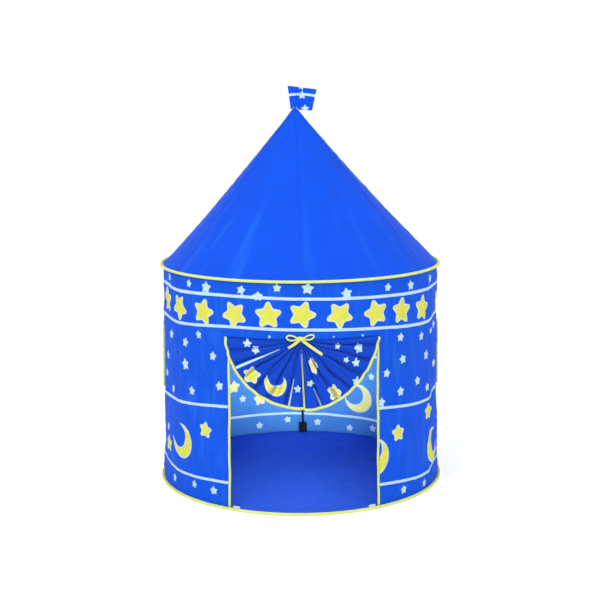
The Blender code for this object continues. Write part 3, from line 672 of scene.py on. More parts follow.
def net_material():
    recipe = new_material("net_threads")
    place = recipe.attribute("cloth", "Vector")
    surface = varied(recipe, place, NET_BLUE, 0.10, 60.0)
    normal = recipe.bumps((recipe.weave(place, 0.0008), 0.3, 0.0003))
    return recipe.finish(recipe.shader(surface, 0.6, normal, sheen=0.1))


def hard_material(name, colour, roughness, metallic=0.0, grain=180.0, depth=0.2):
    """Moulded plastic, fibreglass or wire, in object coordinates."""
    recipe = new_material(name)
    place = recipe.node("ShaderNodeTexCoord").outputs["Object"]
    surface = varied(recipe, place, colour, 0.18, 30.0)
    normal = recipe.bumps((recipe.noise(place, grain, 4.0, 0.1), depth, 0.0004))
    rough = recipe.remap(recipe.noise(place, 45.0, 3.0), 0.3, 0.7, roughness - 0.08, roughness + 0.10)
    return recipe.finish(recipe.shader(surface, rough, normal, metallic=metallic))


ROOF_FABRIC = cloth_material("roof_fabric", ROOF_BLUE, 0.15, 0.30, shaded_seams=True)
# Inside faces in a lighter, paler blue: painted light for the light through the cloth.
ROOF_INSIDE_LIT = cloth_material("roof_inside_lit", INSIDE_LIT_BLUE, 0.25, 0.16)
WALL_FABRIC = cloth_material("wall_fabric", WALL_BLUE, 0.20, 0.42, PRINT_YELLOW, painted_sheen=True)
WALL_INSIDE_LIT = cloth_material("wall_inside_lit", INSIDE_LIT_BLUE, 0.25, 0.28, PRINT_PALE)
# The curtain's darker blue base is painted shade.
CURTAIN_FABRIC = cloth_material("curtain_fabric", CURTAIN_SHADED_BLUE, 0.10, ink=PRINT_YELLOW, fold_shaded=True)
FLOOR_FABRIC = cloth_material("floor_fabric", FLOOR_BLUE, 0.0, 0.22)
FLAG_FABRIC = cloth_material("flag_fabric", ROOF_BLUE, 0.15, 0.5, PRINT_YELLOW)
YELLOW_TAPE = tape_material("yellow_binding", TAPE_YELLOW, BINDING_WIDTH / 2 - STITCH_INSET)
SLEEVE_TAPE = tape_material("yellow_sleeve", TAPE_YELLOW, STITCH_INSET)
RIBBON = tape_material("yellow_ribbon", TAPE_YELLOW, NO_STITCH)
WHITE_TAPE = tape_material("white_tab_loops", TAB_WHITE, 0.0028, rib=0.0008)
NET = net_material()
BLACK_ROD = hard_material("fibreglass_rod", ROD_BLACK, 0.36)
BLACK_PLASTIC = hard_material("black_plastic", PLASTIC_BLACK, 0.5, grain=320.0, depth=0.3)
WIRE = hard_material("steel_wire", STEEL, 0.32, metallic=1.0)


def dress(obj, material=None, body="root", slot=None, nodes=(), bend=None):
    """Gives a piece its material, body and the nodes that it stands for; its slot is not used."""
    if material:
        obj.data.materials.clear()
        obj.data.materials.append(material)
    if bend:
        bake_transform(obj)
    else:
        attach(obj, body)
    if nodes:
        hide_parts(*nodes)
    return obj


def cloth_piece(name, points, facts, outside, inside=None, keep=None, wrap=False, face=OUTWARD, **worn):
    obj = grid_object(name, points, facts, keep, wrap, face)
    return dress(thicken(obj, CLOTH, outside, inside), **worn)


def tape_piece(name, centre, across, out, width, thickness=TAPE, material=YELLOW_TAPE, closed=False, **worn):
    obj = strip(name, centre, across, out, width, thickness, closed)
    return dress(obj, material, slot="yellow_tape", **worn)


# Walls

def steps_between(stops, cell):
    """Values through all the stops, about a cell apart."""
    parts = [np.linspace(a, b, max(2, round((b - a) / cell)) + 1)[:-1] for a, b in zip(stops, stops[1:])]
    return np.concatenate([*parts, stops[-1:]])


def opening_calm(azimuth, height, opening):
    """Zero at an opening's edge, and one away from it."""
    left, right, low, high = opening
    side = np.maximum(np.maximum(left - azimuth, azimuth - right) * WALL_TOP_RADIUS, 0)
    level = np.maximum(np.maximum(low - height, height - high), 0)
    return smooth_step(np.hypot(side, level), 0.002, 0.05)


def wall_folds(azimuth, height, seed):
    """Soft diagonal tension folds and small puckers along the seams and hems."""
    across = azimuth * WALL_TOP_RADIUS
    broad = ripple(across, height, seed, 0.09, 0.26, 14, (0.9, 0.5))
    fine = ripple(across, height, seed + 1, 0.025, 0.07, 22, (2.2, 0.6))
    side = np.minimum(azimuth - azimuth.min(), azimuth.max() - azimuth) * WALL_TOP_RADIUS
    pucker = gathers(height, 0.021, 3, 19) * hump(side, 0.018)
    hem = np.minimum(height - WALL_BOTTOM, WALL_TOP - height)
    gather = gathers(across, 0.017, 4, 11) * hump(hem, 0.016)
    calm = smooth_step(side, 0.0, 0.045) * smooth_step(hem, 0.0, 0.035)
    folds = WALL_RIPPLE * (broad + 0.40 * fine) * calm
    return folds + 0.0006 * pucker * smooth_step(side, 0.0, 0.006) + 0.0005 * gather * smooth_step(hem, 0, 0.006)


def wall_cloth(name, turn_stops, height_stops, opening, seed):
    """A panel of the wall, with a hem at its top and bottom and an opening of azimuths and heights."""
    turns = steps_between(turn_stops, CELL / WALL_TOP_RADIUS)
    levels = steps_between(height_stops, CELL)
    rows = np.concatenate([levels[:1], levels, levels[-1:]])
    outset = np.zeros(len(rows))
    outset[[0, -1]] = HEM_DEPTH
    azimuth, height = np.meshgrid(turns, rows)
    push = wall_folds(azimuth, height, seed) * opening_calm(azimuth, height, opening)
    points = wall_point(azimuth, height, push + outset[:, None])
    left, right, low, high = opening
    middle_turn, middle_row = ((ends[:-1] + ends[1:]) / 2 for ends in (turns, rows))
    keep = without((middle_turn > left) & (middle_turn < right), (middle_row > low) & (middle_row < high))
    facts = cloth_facts(azimuth * WALL_TOP_RADIUS, height, *wall_prints(azimuth, height))
    return cloth_piece(f"{name}_wall_cloth", points, facts, WALL_FABRIC, WALL_INSIDE_LIT, keep,
                       slot="wall_cloth", nodes=[f"{name}_wall_panel"])


def walls():
    door_edges = (-DOOR_TURN, DOOR_TURN)
    stops = [-POLE_TURN, *door_edges, POLE_TURN]
    front = wall_cloth("front", stops, [WALL_BOTTOM, DOOR_TOP, WALL_TOP], (*door_edges, 0.0, DOOR_TOP), 11)
    levels = [WALL_BOTTOM, WINDOW_BOTTOM, WINDOW_TOP, WALL_TOP]
    for name, side, seed in (("left", -1, 23), ("right", 1, 37)):
        stops = sorted(side * turn for turn in (POLE_TURN, WINDOW_START, WINDOW_END, math.pi))
        cloth = wall_cloth(name, stops, levels, (*stops[1:3], WINDOW_BOTTOM, WINDOW_TOP), seed)


# Roof

def roof_place(share, azimuth, outset):
    sag = ROOF_SAG * (1 - share) * pole_slack(azimuth)
    radius = WALL_TOP_RADIUS * share * (1 - sag) + outset * math.sin(ROOF_SLOPE)
    height = PEAK_HEIGHT - ROOF_RISE * share + outset * math.cos(ROOF_SLOPE)
    points = ring(radius, azimuth, height)
    points[..., 0] += PEAK_LEAN * (1 - share)
    return points


def seam_offset(share, azimuth):
    """Signed distance along the roof to the nearest of its six seams."""
    return wrapped(azimuth, GORE) * WALL_TOP_RADIUS * share


def wave_sum(terms, wave):
    """Waves added up, each with a count, a phase and a weight."""
    total = 0
    for count, phase, weight in terms:
        total = total + weight * np.sin(wave(count, phase))
    return total


def roof_folds(share, azimuth):
    """Long creases that run down the cone, gathers above the sleeve, and the six seams."""
    down = share * ROOF_LENGTH
    across = azimuth * WALL_TOP_RADIUS * share
    creases = wave_sum(
        ((9, 0.4, 0.8), (14, 1.9, 0.7), (23, 4.1, 0.5), (37, 2.2, 0.3)),
        lambda count, phase: count * azimuth + phase
        + (0.5 * np.sin(down * 7 + phase * 3) + 0.25 * np.sin(down * 17 + count)),
    )
    broad = np.sin(3 * azimuth + 1.2) * np.sin(down * 6.0)
    seam = np.abs(seam_offset(share, azimuth))
    calm = smooth_step(share, 0.02, 0.30) * smooth_step(1 - share, 0.0, 0.06)
    fold = ROOF_RIPPLE * (0.5 * creases + 0.6 * broad) * calm * smooth_step(seam, 0.0, 0.03)
    ridge = 0.0011 * hump(seam - 0.004, 0.0030) - 0.0009 * hump(seam, 0.0016)
    pucker = 0.0006 * gathers(down, 0.024, 2, 23) * hump(seam, 0.016)
    gather = 0.0010 * np.sin(160 * azimuth + 5 * np.sin(7 * azimuth)) * hump(1 - share, 0.035)
    fine = 0.0005 * ripple(across, down, 5, 0.03, 0.09, 16) * calm
    return fold + fine + (ridge + pucker) * smooth_step(share, 0.03, 0.08) + gather * smooth_step(1 - share, 0, 0.02)


def roof_painted_highlights(share, azimuth):
    """Painted highlight: soft light streaks where the cloth is drawn towards the sleeve, brightest on the left,
    towards the key lamp.
    """
    painted_streak = wave_sum(
        ((13, 0.8, 0.4), (23, 2.9, 0.5), (37, 1.2, 0.45), (59, 5.0, 0.35)),
        lambda count, phase: count * (azimuth + 0.16 * share) + phase + 1.1 * np.sin(5 * share + count),
    )
    lit = 0.30 + 0.70 * hump(wrapped(azimuth) + 0.72, 0.38)
    return smooth_step(painted_streak, 0.25, 1.25) * smooth_step(share, 0.45, 0.80) * lit


def roof():
    columns, rows = 462, 104
    mouth = ROOF_MOUTH / WALL_TOP_RADIUS
    turns = full_turn(columns)
    shares = mouth + (1 - mouth) * np.linspace(0, 1, rows) ** 0.92
    share, azimuth = np.meshgrid(shares, turns, indexing="ij")
    points = roof_place(share, azimuth, roof_folds(share, azimuth))
    hem = ring(WALL_TOP_RADIUS + HEM_DEPTH, turns, ROOF_BASE)[None]
    down, spread = share * ROOF_LENGTH, azimuth * ROOF_SECTOR
    facts = {
        "cloth": np.stack([down * np.sin(spread), down * np.cos(spread), azimuth * 0.02], -1),
        "seam": seam_offset(share, azimuth),
        # How strong the painted highlight streaks are
        "painted_streak": roof_painted_highlights(share, azimuth),
        # How strong the painted seam shade is: faint at the seams between the poles, strongest at those over the
        # poles
        "seam_shade_strength": 0.18 + 0.50 * pole_slack(azimuth + POLE_TURN),
    }
    facts = {label: np.concatenate([values, values[-1:]]) for label, values in facts.items()}
    sides = ("front_right", "right", "back_right", "back_left", "left", "front_left")
    obj = cloth_piece("roof_cloth", np.concatenate([points, hem]), facts, ROOF_FABRIC, ROOF_INSIDE_LIT, wrap=True,
                      slot="roof_cloth", nodes=[f"{side}_roof_gore" for side in sides])
    peak_cap()


def peak_cap():
    """The folded collar of roof cloth round the mast."""
    shares = np.linspace(0.0040, 0.034, 26) / WALL_TOP_RADIUS
    share, azimuth = np.meshgrid(shares, full_turn(96), indexing="ij")
    low = smooth_step(share, shares[0], shares[-1])
    folds = 0.0003 * (1 - low) * (1 + np.sin(12 * azimuth + 40 * share) + 0.6 * np.sin(29 * azimuth))
    points = roof_place(share, azimuth, 0.0009 * smooth_step(share, shares[4], shares[8]) + folds)
    cloth_piece("peak_cap_cloth", points, cloth_facts(azimuth * 0.03, share * 0.76), ROOF_FABRIC, wrap=True,
                slot="roof_cloth", nodes=["roof_peak_cap"])


# Hoops' sleeves and floor

def sleeve(name, node, outer, level, seed):
    """Folded tape sewn round the hoop's wire: round at the rim, flat at its seam, and lightly gathered."""
    turns = full_turn(720)
    round_turns = np.linspace(-0.62 * math.pi, 0.62 * math.pi, 14)
    radius = SLEEVE_HEIGHT / 2
    centre = outer - radius
    edge = outer - SLEEVE_WIDTH
    rim = np.stack([centre + radius * np.cos(round_turns), radius * np.sin(round_turns)], -1)
    top = np.array([[edge + 0.0034, 0.0034], [edge + 0.0008, 0.0028], [edge, 0.0018]])
    section = np.concatenate([rim, top, top[::-1] * [1, -1]])
    rng = np.random.default_rng(seed)
    wander = sum(np.sin(k * turns + rng.uniform(0, 6.3)) * rng.uniform(0.3, 1) for k in (5, 9, 14, 31, 52))
    gather = np.sin(turns * 262 + 2 * wander)
    inward = smooth_step(outer - section[:, 0], 0.003, 0.011)
    across = section[None, :, 0] + 0.0003 * wander[:, None] * inward
    rise = section[None, :, 1] * (1 + 0.12 * gather[:, None] * inward)
    points = ring(across, turns[:, None], level + np.clip(rise, -radius, radius))
    points = np.concatenate([points, points[:1]])
    along = np.append(turns, FULL) * outer
    obj = grid_object(name, points, cloth_facts(section[None, :, 0] - edge, along[:, None]), wrap=True)
    dress(weld(obj), SLEEVE_TAPE, slot="yellow_tape", nodes=[node])


def floor_cloth():
    side = np.linspace(-1, 1, 190)
    x, y = np.meshgrid(side, side)
    edge = FLOOR_RADIUS - SLEEVE_WIDTH + HEM_DEPTH
    across = x * np.sqrt(1 - y * y / 2) * edge
    along = y * np.sqrt(1 - x * x / 2) * edge
    reach = np.hypot(across, along)
    creases = ripple(across, along, 3, 0.05, 0.22, 20) + 0.5 * ripple(across, along, 4, 0.02, 0.06, 20)
    lift = 0.0006 + 0.0011 * np.abs(creases) * smooth_step(edge - reach, 0.01, 0.08)
    lift += 0.0042 * smooth_step(reach, edge - 0.035, edge - 0.014)
    points = np.stack([across, along, lift], -1)
    obj = cloth_piece("floor_cloth", points, cloth_facts(across, along), FLOOR_FABRIC, face=(0, 0, 1),
                      slot="floor_cloth", nodes=["floor_panel"])


# Windows

def window_outline():
    """Azimuth and height round a window, with rounded corners, starting at its lower front corner."""
    corner = 0.012
    half = np.array([(WINDOW_END - WINDOW_START) * WALL_TOP_RADIUS, WINDOW_TOP - WINDOW_BOTTOM]) / 2
    path = []
    for sides, first in (((1, -1), -90), ((1, 1), 0), ((-1, 1), 90), ((-1, -1), 180)):
        angles = np.radians(np.linspace(first, first + 90, 15))
        path.append(sides * (half - corner) + corner * np.stack([np.cos(angles), np.sin(angles)], -1))
    path = np.concatenate([*path, path[0][:1]])
    walked = lengths(path)
    spots = np.linspace(0, walked[-1], 260, endpoint=False)
    across, up = (np.interp(spots, walked, values) for values in path.T)
    return (WINDOW_START + WINDOW_END) / 2 + across / WALL_TOP_RADIUS, (WINDOW_BOTTOM + WINDOW_TOP) / 2 + up


def window_tape(name, side):
    turn, height = window_outline()
    base = wall_point(side * turn, height)
    out = outwards(base)
    flat_side = np.cross(unit(np.roll(base, -1, 0) - np.roll(base, 1, 0)), out)
    wave = 0.0010 * np.sin(full_turn(len(turn)) * 26)
    centre = base + out * (WINDOW_PROUD + 0.3 * wave)[:, None] + flat_side * wave[:, None] * 0.4
    tape_piece(f"{name}_window_tape", centre, out, flat_side, WINDOW_TAPE, BINDING, closed=True,
               nodes=[f"{name}_window_piping"])


def strands(count):
    """Where each strand of a net starts and ends, as shares of the net's width."""
    return np.array([(k + part * NET_SHARE) / (count + NET_SHARE) for k in range(count + 1) for part in (0, 1)])


def window_net(name, side):
    lines, levels = (strands(count) for count in NET_CELLS)
    turns = WINDOW_START + 0.0006 + (WINDOW_END - WINDOW_START - 0.0012) * lines
    heights = WINDOW_BOTTOM + 0.0003 + (WINDOW_TOP - WINDOW_BOTTOM - 0.0006) * levels
    azimuth, height = np.meshgrid(side * turns, heights)
    belly = np.sin(math.pi * lines)[None, :] * np.sin(math.pi * levels)[:, None]
    points = wall_point(azimuth, height, -0.0012 * belly)
    keep = without(*(np.arange(len(ends) - 1) % 2 == 1 for ends in (lines, levels)))
    obj = grid_object(f"{name}_window_mesh", points, cloth_facts(azimuth * WALL_TOP_RADIUS, height), keep)
    dress(thicken(obj, NET_STRAND, NET), slot="blue_net", nodes=[f"{name}_window_net"])


# Door, curtain and bow

def door_binding(name, side):
    """Tape folded over the door's edge, from the floor sleeve to the head."""
    heights = with_ends(np.linspace(SLEEVE_HEIGHT - 0.0026, DOOR_TOP - 0.0004, 150))
    wobble = 0.0009 * np.sin(heights * 24 + side) + 0.0005 * np.sin(heights * 61)
    turn = side * (DOOR_TURN - (0.0003 + BINDING_WIDTH / 2) / WALL_TOP_RADIUS)
    loose = smooth_step(heights, 0.02, 0.1) * smooth_step(DOOR_TOP - heights, 0, 0.05)
    centre = wall_point(turn + wobble / WALL_TOP_RADIUS * loose, heights)
    out = outwards(centre)
    tape_piece(f"{name}_door_tape", centre, np.cross(out, [0, 0, 1.0]), out, BINDING_WIDTH - 0.0006, BINDING,
               nodes=[f"{name}_door_binding"])


def door_tab(name, side):
    """A white loop of tape that stands on the floor sleeve beside the door."""
    radius = FLOOR_RADIUS - SLEEVE_WIDTH + SLEEVE_HEIGHT / 2
    spots = with_ends(np.linspace(-TAB_LENGTH / 2, TAB_LENGTH / 2, 12), 0.01)
    bulge = 0.0006 * np.cos(spots * math.pi / TAB_LENGTH)
    centre = ring(radius + bulge, side * TAB_ARC / radius + spots / radius, SLEEVE_HEIGHT + 0.0004 + 0.004)
    up = np.broadcast_to([0, 0, 1.0], centre.shape)
    obj = strip(f"{name}_door_tab_tape", centre, up, outwards(centre), TAB_HEIGHT, TAB_THICKNESS)
    dress(obj, WHITE_TAPE, slot="white_tab", nodes=[f"{name}_door_tab"])


def pleat_wave(reach, turn, side):
    """Zero in a valley between two pleats, and one on top of a pleat."""
    drift = 0.035 * np.sin(3.1 * turn + 1.3 * side) + 0.02 * np.sin(9 * reach + 5 * turn + side)
    return np.abs(np.sin(2 * PLEATS * (turn + drift * np.sin(2 * turn))))


def painted_fold_shade(reach, turn, side):
    """How much painted shade a point gets between two pleats, with darker streaks, most of all near the bow."""
    valley = 1 - smooth_step(pleat_wave(reach, turn, side), 0.0, 0.75)
    painted_streak = wave_sum(
        ((23, 0.6, 0.5), (41, 2.4, 0.8), (67, 4.0, 0.6), (95, 1.1, 0.4)),
        lambda count, phase: count * turn + phase * (1.5 + side) + 1.6 * np.sin(7 * reach + phase),
    )
    near = smooth_step(-reach, -0.30, -0.06)
    return np.clip(valley * (1.15 - 0.55 * reach) + 0.32 * painted_streak * (1.25 - reach) + 0.45 * near, 0, 1)


def pleat(reach, turn, side):
    """Broad soft pleats with sharp valleys between them, a little uneven."""
    wave = pleat_wave(reach, turn, side)
    small = 0.22 * np.sin(2 * PLEATS * 2.6 * turn + 4 * reach + side) * reach
    level = reach * (1 - 0.45 * smooth_step(reach, 0.72, 1.0))
    return 2 * PLEAT_DEPTH * level * (wave ** 0.85 + small)


def fan_angles(side, reach, turn):
    spread = CURTAIN_TURN * (1.0037 - 0.0147 * side) - 0.0024
    azimuth = side * (0.0024 + spread * reach * np.cos(turn)) + BOW_TURN * (1 - reach)
    drop, flat = (CURTAIN_DROP * 1.022, 0.33) if side > 0 else (CURTAIN_DROP, 0.08)
    height = CURTAIN_TOP - drop * reach * np.sin(turn) ** (1 + flat * reach)
    return azimuth, height


def fan_point(side, reach, turn, outset=0.0):
    azimuth, height = fan_angles(side, reach, turn)
    return wall_point(azimuth, height, CURTAIN_OUTSET + pleat(reach, turn, side) + outset)


# The curtain's print: azimuth, height, radius, turn, and how much a star is squeezed across
FAN_WHITE = (
    (-21.7, 0.600, 16, 0), (-18.4, 0.580, 15, 40), (-2.6, 0.447, 14, 0), (2.4, 0.466, 12, 20),
    (12.8, 0.592, 11, 8), (21.3, 0.580, 17, -12), (16.2, 0.543, 11, 30), (20.1, 0.531, 15, 0),
    (20.5, 0.466, 17, 10),
)
FAN_STARS = ((-20.2, 0.491, 27, 24, 1.0), (3.4, 0.526, 20, 20, 2.3), (11.8, 0.430, 27, 30, 1.5))
# Each stripe's start and end as azimuth and height, and half its width
FAN_STRIPES = (
    ((-26.7, 0.511), (-9.0, 0.584), 0.0028),
    ((-5.7, 0.387), (-3.8, 0.483), 0.0018),
    ((5.9, 0.386), (3.5, 0.449), 0.0018),
)


def stripe_distance(azimuth, height, start, end, half):
    """Signed distance to a straight stripe that narrows away from its start."""
    x, y = arc(azimuth, start[0]), height - start[1]
    run, rise = arc(math.radians(end[0]), start[0]), end[1] - start[1]
    share = (x * run + y * rise) / (run ** 2 + rise ** 2)
    beyond = (np.abs(share - 0.5) - 0.5) * math.hypot(run, rise)
    aside = np.hypot(x - share * run, y - share * rise)
    return np.maximum(aside - half * (1 - 0.7 * np.clip(share, 0, 1)), beyond)


def fan_prints(side, reach, turn):
    """The curtain's print, pulled about by the pleats."""
    azimuth, height = fan_angles(side, reach, turn)
    pull = 0.010 * (np.abs(np.sin(2 * PLEATS * turn)) - 0.6) * reach
    azimuth = azimuth + side * pull * np.sin(turn) / WALL_TOP_RADIUS
    height = height + pull * np.cos(turn)
    white = np.min([stripe_distance(azimuth, height, *stripe) for stripe in FAN_STRIPES], axis=0)
    white = stamped(white, star_distance, FAN_WHITE, azimuth, height, *WHITE_STAR)
    yellow = np.full_like(white, 1.0)
    for centre, level, radius, angle, squeeze in FAN_STARS:
        dx, dy = arc(azimuth, centre), height - level
        lean = math.atan2(math.radians(centre) * WALL_TOP_RADIUS, CURTAIN_TOP - level)
        across = (dx * math.cos(lean) + dy * math.sin(lean)) * squeeze
        along = dy * math.cos(lean) - dx * math.sin(lean)
        yellow = np.minimum(yellow, star_distance(across, along, radius / 1000, math.radians(angle)) / squeeze)
    dx = 1.1 * arc(azimuth, -10.9)
    yellow = np.minimum(yellow, crescent_distance(dx, height - 0.4620, 0.036, math.radians(85), 0.62, 0.92))
    return white, yellow


def middle_turn(side):
    """Where a half of the curtain ends at the middle: the right half lies over the left half's edge."""
    return math.pi / 2 - 0.004 * (side > 0)


def half_curtain(name, side):
    heart = CURTAIN_HEART / CURTAIN_DROP
    hem = 1 - (BINDING_WIDTH - 0.001) / CURTAIN_DROP
    reaches = np.linspace(heart, hem, 72)
    turns = np.linspace(0.0, middle_turn(side), 236)
    reach, turn = np.meshgrid(reaches, turns, indexing="ij")
    points = fan_point(side, reach, turn)
    body = f"{name}_curtain"
    facts = cloth_facts(reach * 0.25, turn * 0.30, *fan_prints(side, reach, turn))
    # Painted shade between the pleats, most near the bow
    facts["fold"] = painted_fold_shade(reach, turn, side)
    obj = cloth_piece(f"{body}_cloth", points, facts, CURTAIN_FABRIC, slot="curtain_cloth", nodes=[body], bend=body)
    curtain_tape(name, side)
    curtain_edge(name, side)


def curtain_tape(name, side):
    """The yellow hem, which follows every pleat."""
    turns = with_ends(np.linspace(0.05 * (side > 0), middle_turn(side), 340))
    reach = 1 - BINDING_WIDTH / 2 / CURTAIN_DROP
    centre = fan_point(side, reach, turns, 0.0004)
    inner = fan_point(side, reach - 0.02, turns, 0.0004)
    along = unit(np.gradient(centre, axis=0))
    across = unit(centre - inner)
    out = unit(np.cross(along, across))
    out *= np.sign(np.sum(out * centre * [1, 1, 0], axis=1, keepdims=True))
    body = f"{name}_curtain"
    return tape_piece(f"{body}_hem_tape", centre, across, out, BINDING_WIDTH, nodes=[f"{body}_binding"], bend=body)


def curtain_edge(name, side):
    """The yellow edge down the middle, which narrows towards the bow."""
    heart = 12 * CURTAIN_HEART / CURTAIN_DROP
    reaches = with_ends(np.linspace(heart, 1 - 0.3 * BINDING_WIDTH / CURTAIN_DROP, 80))
    centre = fan_point(side, reaches, middle_turn(side), 0.0006)
    out = outwards(centre)
    across = np.cross(unit(np.gradient(centre, axis=0)), out)
    width = (0.0007 + 0.0030 * reaches) if side > 0 else (0.0006 + 0.0014 * reaches)
    body = f"{name}_curtain"
    return tape_piece(f"{body}_edge_tape", centre, across, out, width, bend=body)


def bow_frame(side, across, level, outset):
    azimuth = side * across / wall_radius(0.0, KNOT_LEVEL) + BOW_TURN
    return wall_point(azimuth, level, outset)


def bow_tail(name, side, start, end, width, curl):
    """A flat end of the tie, hanging in front of the pleats."""
    share = with_ends(np.linspace(0, 1, 60), 0.012)
    across = start[0] + (end[0] - start[0]) * share + 0.0008 * np.sin(math.pi * share) * curl
    fall = start[1] + (end[1] - start[1]) * share + 0.0010 * np.sin(math.pi * share)
    lift = 0.0053 + 2 * PLEAT_DEPTH * np.hypot(across, fall) / CURTAIN_DROP + 0.0012 * np.sin(5 * share)
    centre = bow_frame(side, across, KNOT_LEVEL - fall, lift)
    out, flat_side = path_sides(centre)
    tilt = 0.35 * np.sin(3.0 * share + curl)[:, None]
    across_tape, out_tape = unit(flat_side + tilt * out), unit(out - tilt * flat_side)
    tape_piece(f"{name}_bow_tail_ribbon", centre, across_tape, out_tape, width, material=RIBBON,
               nodes=[f"{name}_bow_tail"], bend=f"{name}_curtain")


def bow_loop(name, side, length, width, lift):
    """A long open teardrop of the tie's tape."""
    turns = np.linspace(0.06 * math.pi, 1.94 * math.pi, 90)
    reach = (1 - np.cos(turns)) / 2
    apart = np.sin(turns) * reach ** 0.55 * (1.15 - 0.30 * reach)
    across = 0.0085 + length * reach
    level = KNOT_LEVEL + lift * reach + width / 2 * apart
    centre = bow_frame(side, across, level, KNOT_OUTSET + 0.0012 * np.sin(turns))
    out, flat_side = path_sides(centre)
    tape_piece(f"{name}_bow_loop_ribbon", centre, flat_side, out, 0.0054, 0.0046, RIBBON,
               nodes=[f"{name}_bow_loop"])


def bow_knot():
    """The wrapped turn of tape that holds the bow."""
    rows, columns = 40, 48
    lift = np.linspace(0.02, math.pi - 0.02, rows)[:, None]
    turn = full_turn(columns)[None]
    shape = np.sin(lift) ** 0.7
    crease = 1 + 0.05 * np.sin(5 * turn + 2.2 * np.cos(lift)) + 0.04 * np.sin(9 * np.cos(lift))
    x = KNOT_WIDTH / 2 * shape * np.cos(turn) * crease
    y = KNOT_DEPTH / 2 * shape * np.sin(turn) * crease
    z = KNOT_DEPTH / 2 * np.cos(lift) * np.ones_like(turn) * crease
    middle = wall_point(BOW_TURN, KNOT_LEVEL, KNOT_OUTSET)
    points = np.stack([
        middle[0] + x * math.cos(BOW_TURN) - y * math.sin(BOW_TURN),
        middle[1] + x * math.sin(BOW_TURN) + y * math.cos(BOW_TURN),
        middle[2] + z,
    ], -1)
    cloth = np.stack([x, z, y], -1)
    obj = grid_object("bow_knot_ribbon", points, {"cloth": cloth}, wrap=True)
    dress(obj, RIBBON, slot="yellow_tape", nodes=["bow_knot"])


def door():
    for name, side in (("left", -1), ("right", 1)):
        door_binding(name, side)
        door_tab(name, side)
        half_curtain(name, side)
    bow_knot()
    bow_loop("left", -1, 0.038, 0.0245, 0.004)
    bow_loop("right", 1, 0.036, 0.0225, 0.008)
    bow_tail("left", -1, (0.004, 0.005), (0.042, 0.033), 0.0100, -1)
    bow_tail("right", 1, (0.004, 0.005), (0.073, 0.057), 0.0104, 1)


# Flag

# Distance from the mast, height over the flag's lower end, radius in millimetres, turn
FLAG_STARS = ((0.0266, 0.0398, 15, 0), (0.0375, -0.0106, 15, 0), (0.0250, 0.0705, 12, 20))


def flag_print(x, y):
    """A curved white line with stars above and below it."""
    white = np.abs(y - 0.0435 + 0.03 * x + 1.9 * (x - 0.024) ** 2) - 0.0046
    for cx, cy, radius, turn in FLAG_STARS:
        distance = star_distance(x - cx, y - cy, radius / 1000, math.radians(turn), *WHITE_STAR)
        white = np.minimum(white, distance)
    return white


def flag_piece(name, points, across, height, white, face, nodes=()):
    facts = cloth_facts(across, height, white, np.full_like(white, 1.0))
    return cloth_piece(name, points, facts, FLAG_FABRIC, face=face, body="flag", slot="flag_cloth", nodes=nodes)


def flag():
    """The waving cloth, cut to the roof's slope below, and the back of the channel for its mast."""
    columns, rows = 90, 60
    share, rise = np.meshgrid(np.linspace(0, 1, columns), np.linspace(0, 1, rows))
    left, right = (low + (high - low) * rise for low, high in (FLAG_LEFT, FLAG_RIGHT))
    across = left + (right - left) * share
    slope = ROOF_RISE / WALL_TOP_RADIUS
    low = FLAG_LOW - np.clip(slope * (np.abs(across) - 0.0009), 0, 0.0119 + 0.0050 * share)
    high = FLAG_LOW + FLAG_HEIGHT - FLAG_DROOP * share
    height = low + (high - low) * rise
    wave = 0.006 * np.sin(math.pi * across / (FLAG_WIDTH / 2))
    away = smooth_step(np.abs(across), 0.006, 0.02)
    wave = wave + 0.0012 * away * ripple(across, height, 8, 0.02, 0.05, 12)
    channel = CHANNEL_DEPTH * (1 - smooth_step(np.abs(across), 0.0, 0.0085))
    points = np.stack([MAST_X + across, wave - channel, height], -1)
    white = flag_print(across, height - FLAG_LOW)
    obj = flag_piece("flag_cloth", points, across, height, white, (0, -1, 0), ["flag"])
    levels = np.linspace(FLAG_LOW, FLAG_LOW + FLAG_HEIGHT - FLAG_DROOP * 0.25 - 0.001, 30)
    turn, level = np.meshgrid(np.linspace(0, math.pi, 24), levels)
    points = np.stack([MAST_X + 0.0058 * np.cos(turn), CHANNEL_DEPTH * np.sin(turn), level], -1)
    flag_piece("flag_channel_cloth", points, turn * 0.006, level, np.full_like(level, 1.0), (0, 1, 0))


# Hard parts, stage, light and camera

def hard_parts():
    finishes = {
        BLACK_ROD: ["_lower_pole", "_upper_pole", "_rafter", "flag_mast"],
        BLACK_PLASTIC: ["_ferrule", "_eave_elbow", "crown_hub", "_base_pocket"],
        WIRE: ["floor_hoop", "eave_hoop"],
    }
    for finish, endings in finishes.items():
        for name, node in frame["nodes"].items():
            if name.endswith(tuple(endings)):
                node.data.materials.clear()
                node.data.materials.append(finish)


def stage():
    """The pale ground, which glows a little where the camera sees it, as paper does."""
    bpy.ops.mesh.primitive_plane_add(size=24)
    ground = bpy.context.object
    ground.name = "ground"
    recipe = new_material("pale_ground")
    place = recipe.node("ShaderNodeTexCoord").outputs["Object"]
    colour = varied(recipe, place, PAPER, 0.01, 2.0)
    seen = recipe.node("ShaderNodeLightPath").outputs["Is Camera Ray"]
    paper = recipe.node("ShaderNodeBsdfDiffuse", {"Color": colour}).outputs[0]
    lift = recipe.math("MULTIPLY", seen, 0.40)
    glow = recipe.node("ShaderNodeEmission", {"Strength": lift}).outputs[0]
    both = recipe.node("ShaderNodeAddShader", {0: paper, 1: glow}).outputs[0]
    ground.data.materials.append(recipe.finish(both))


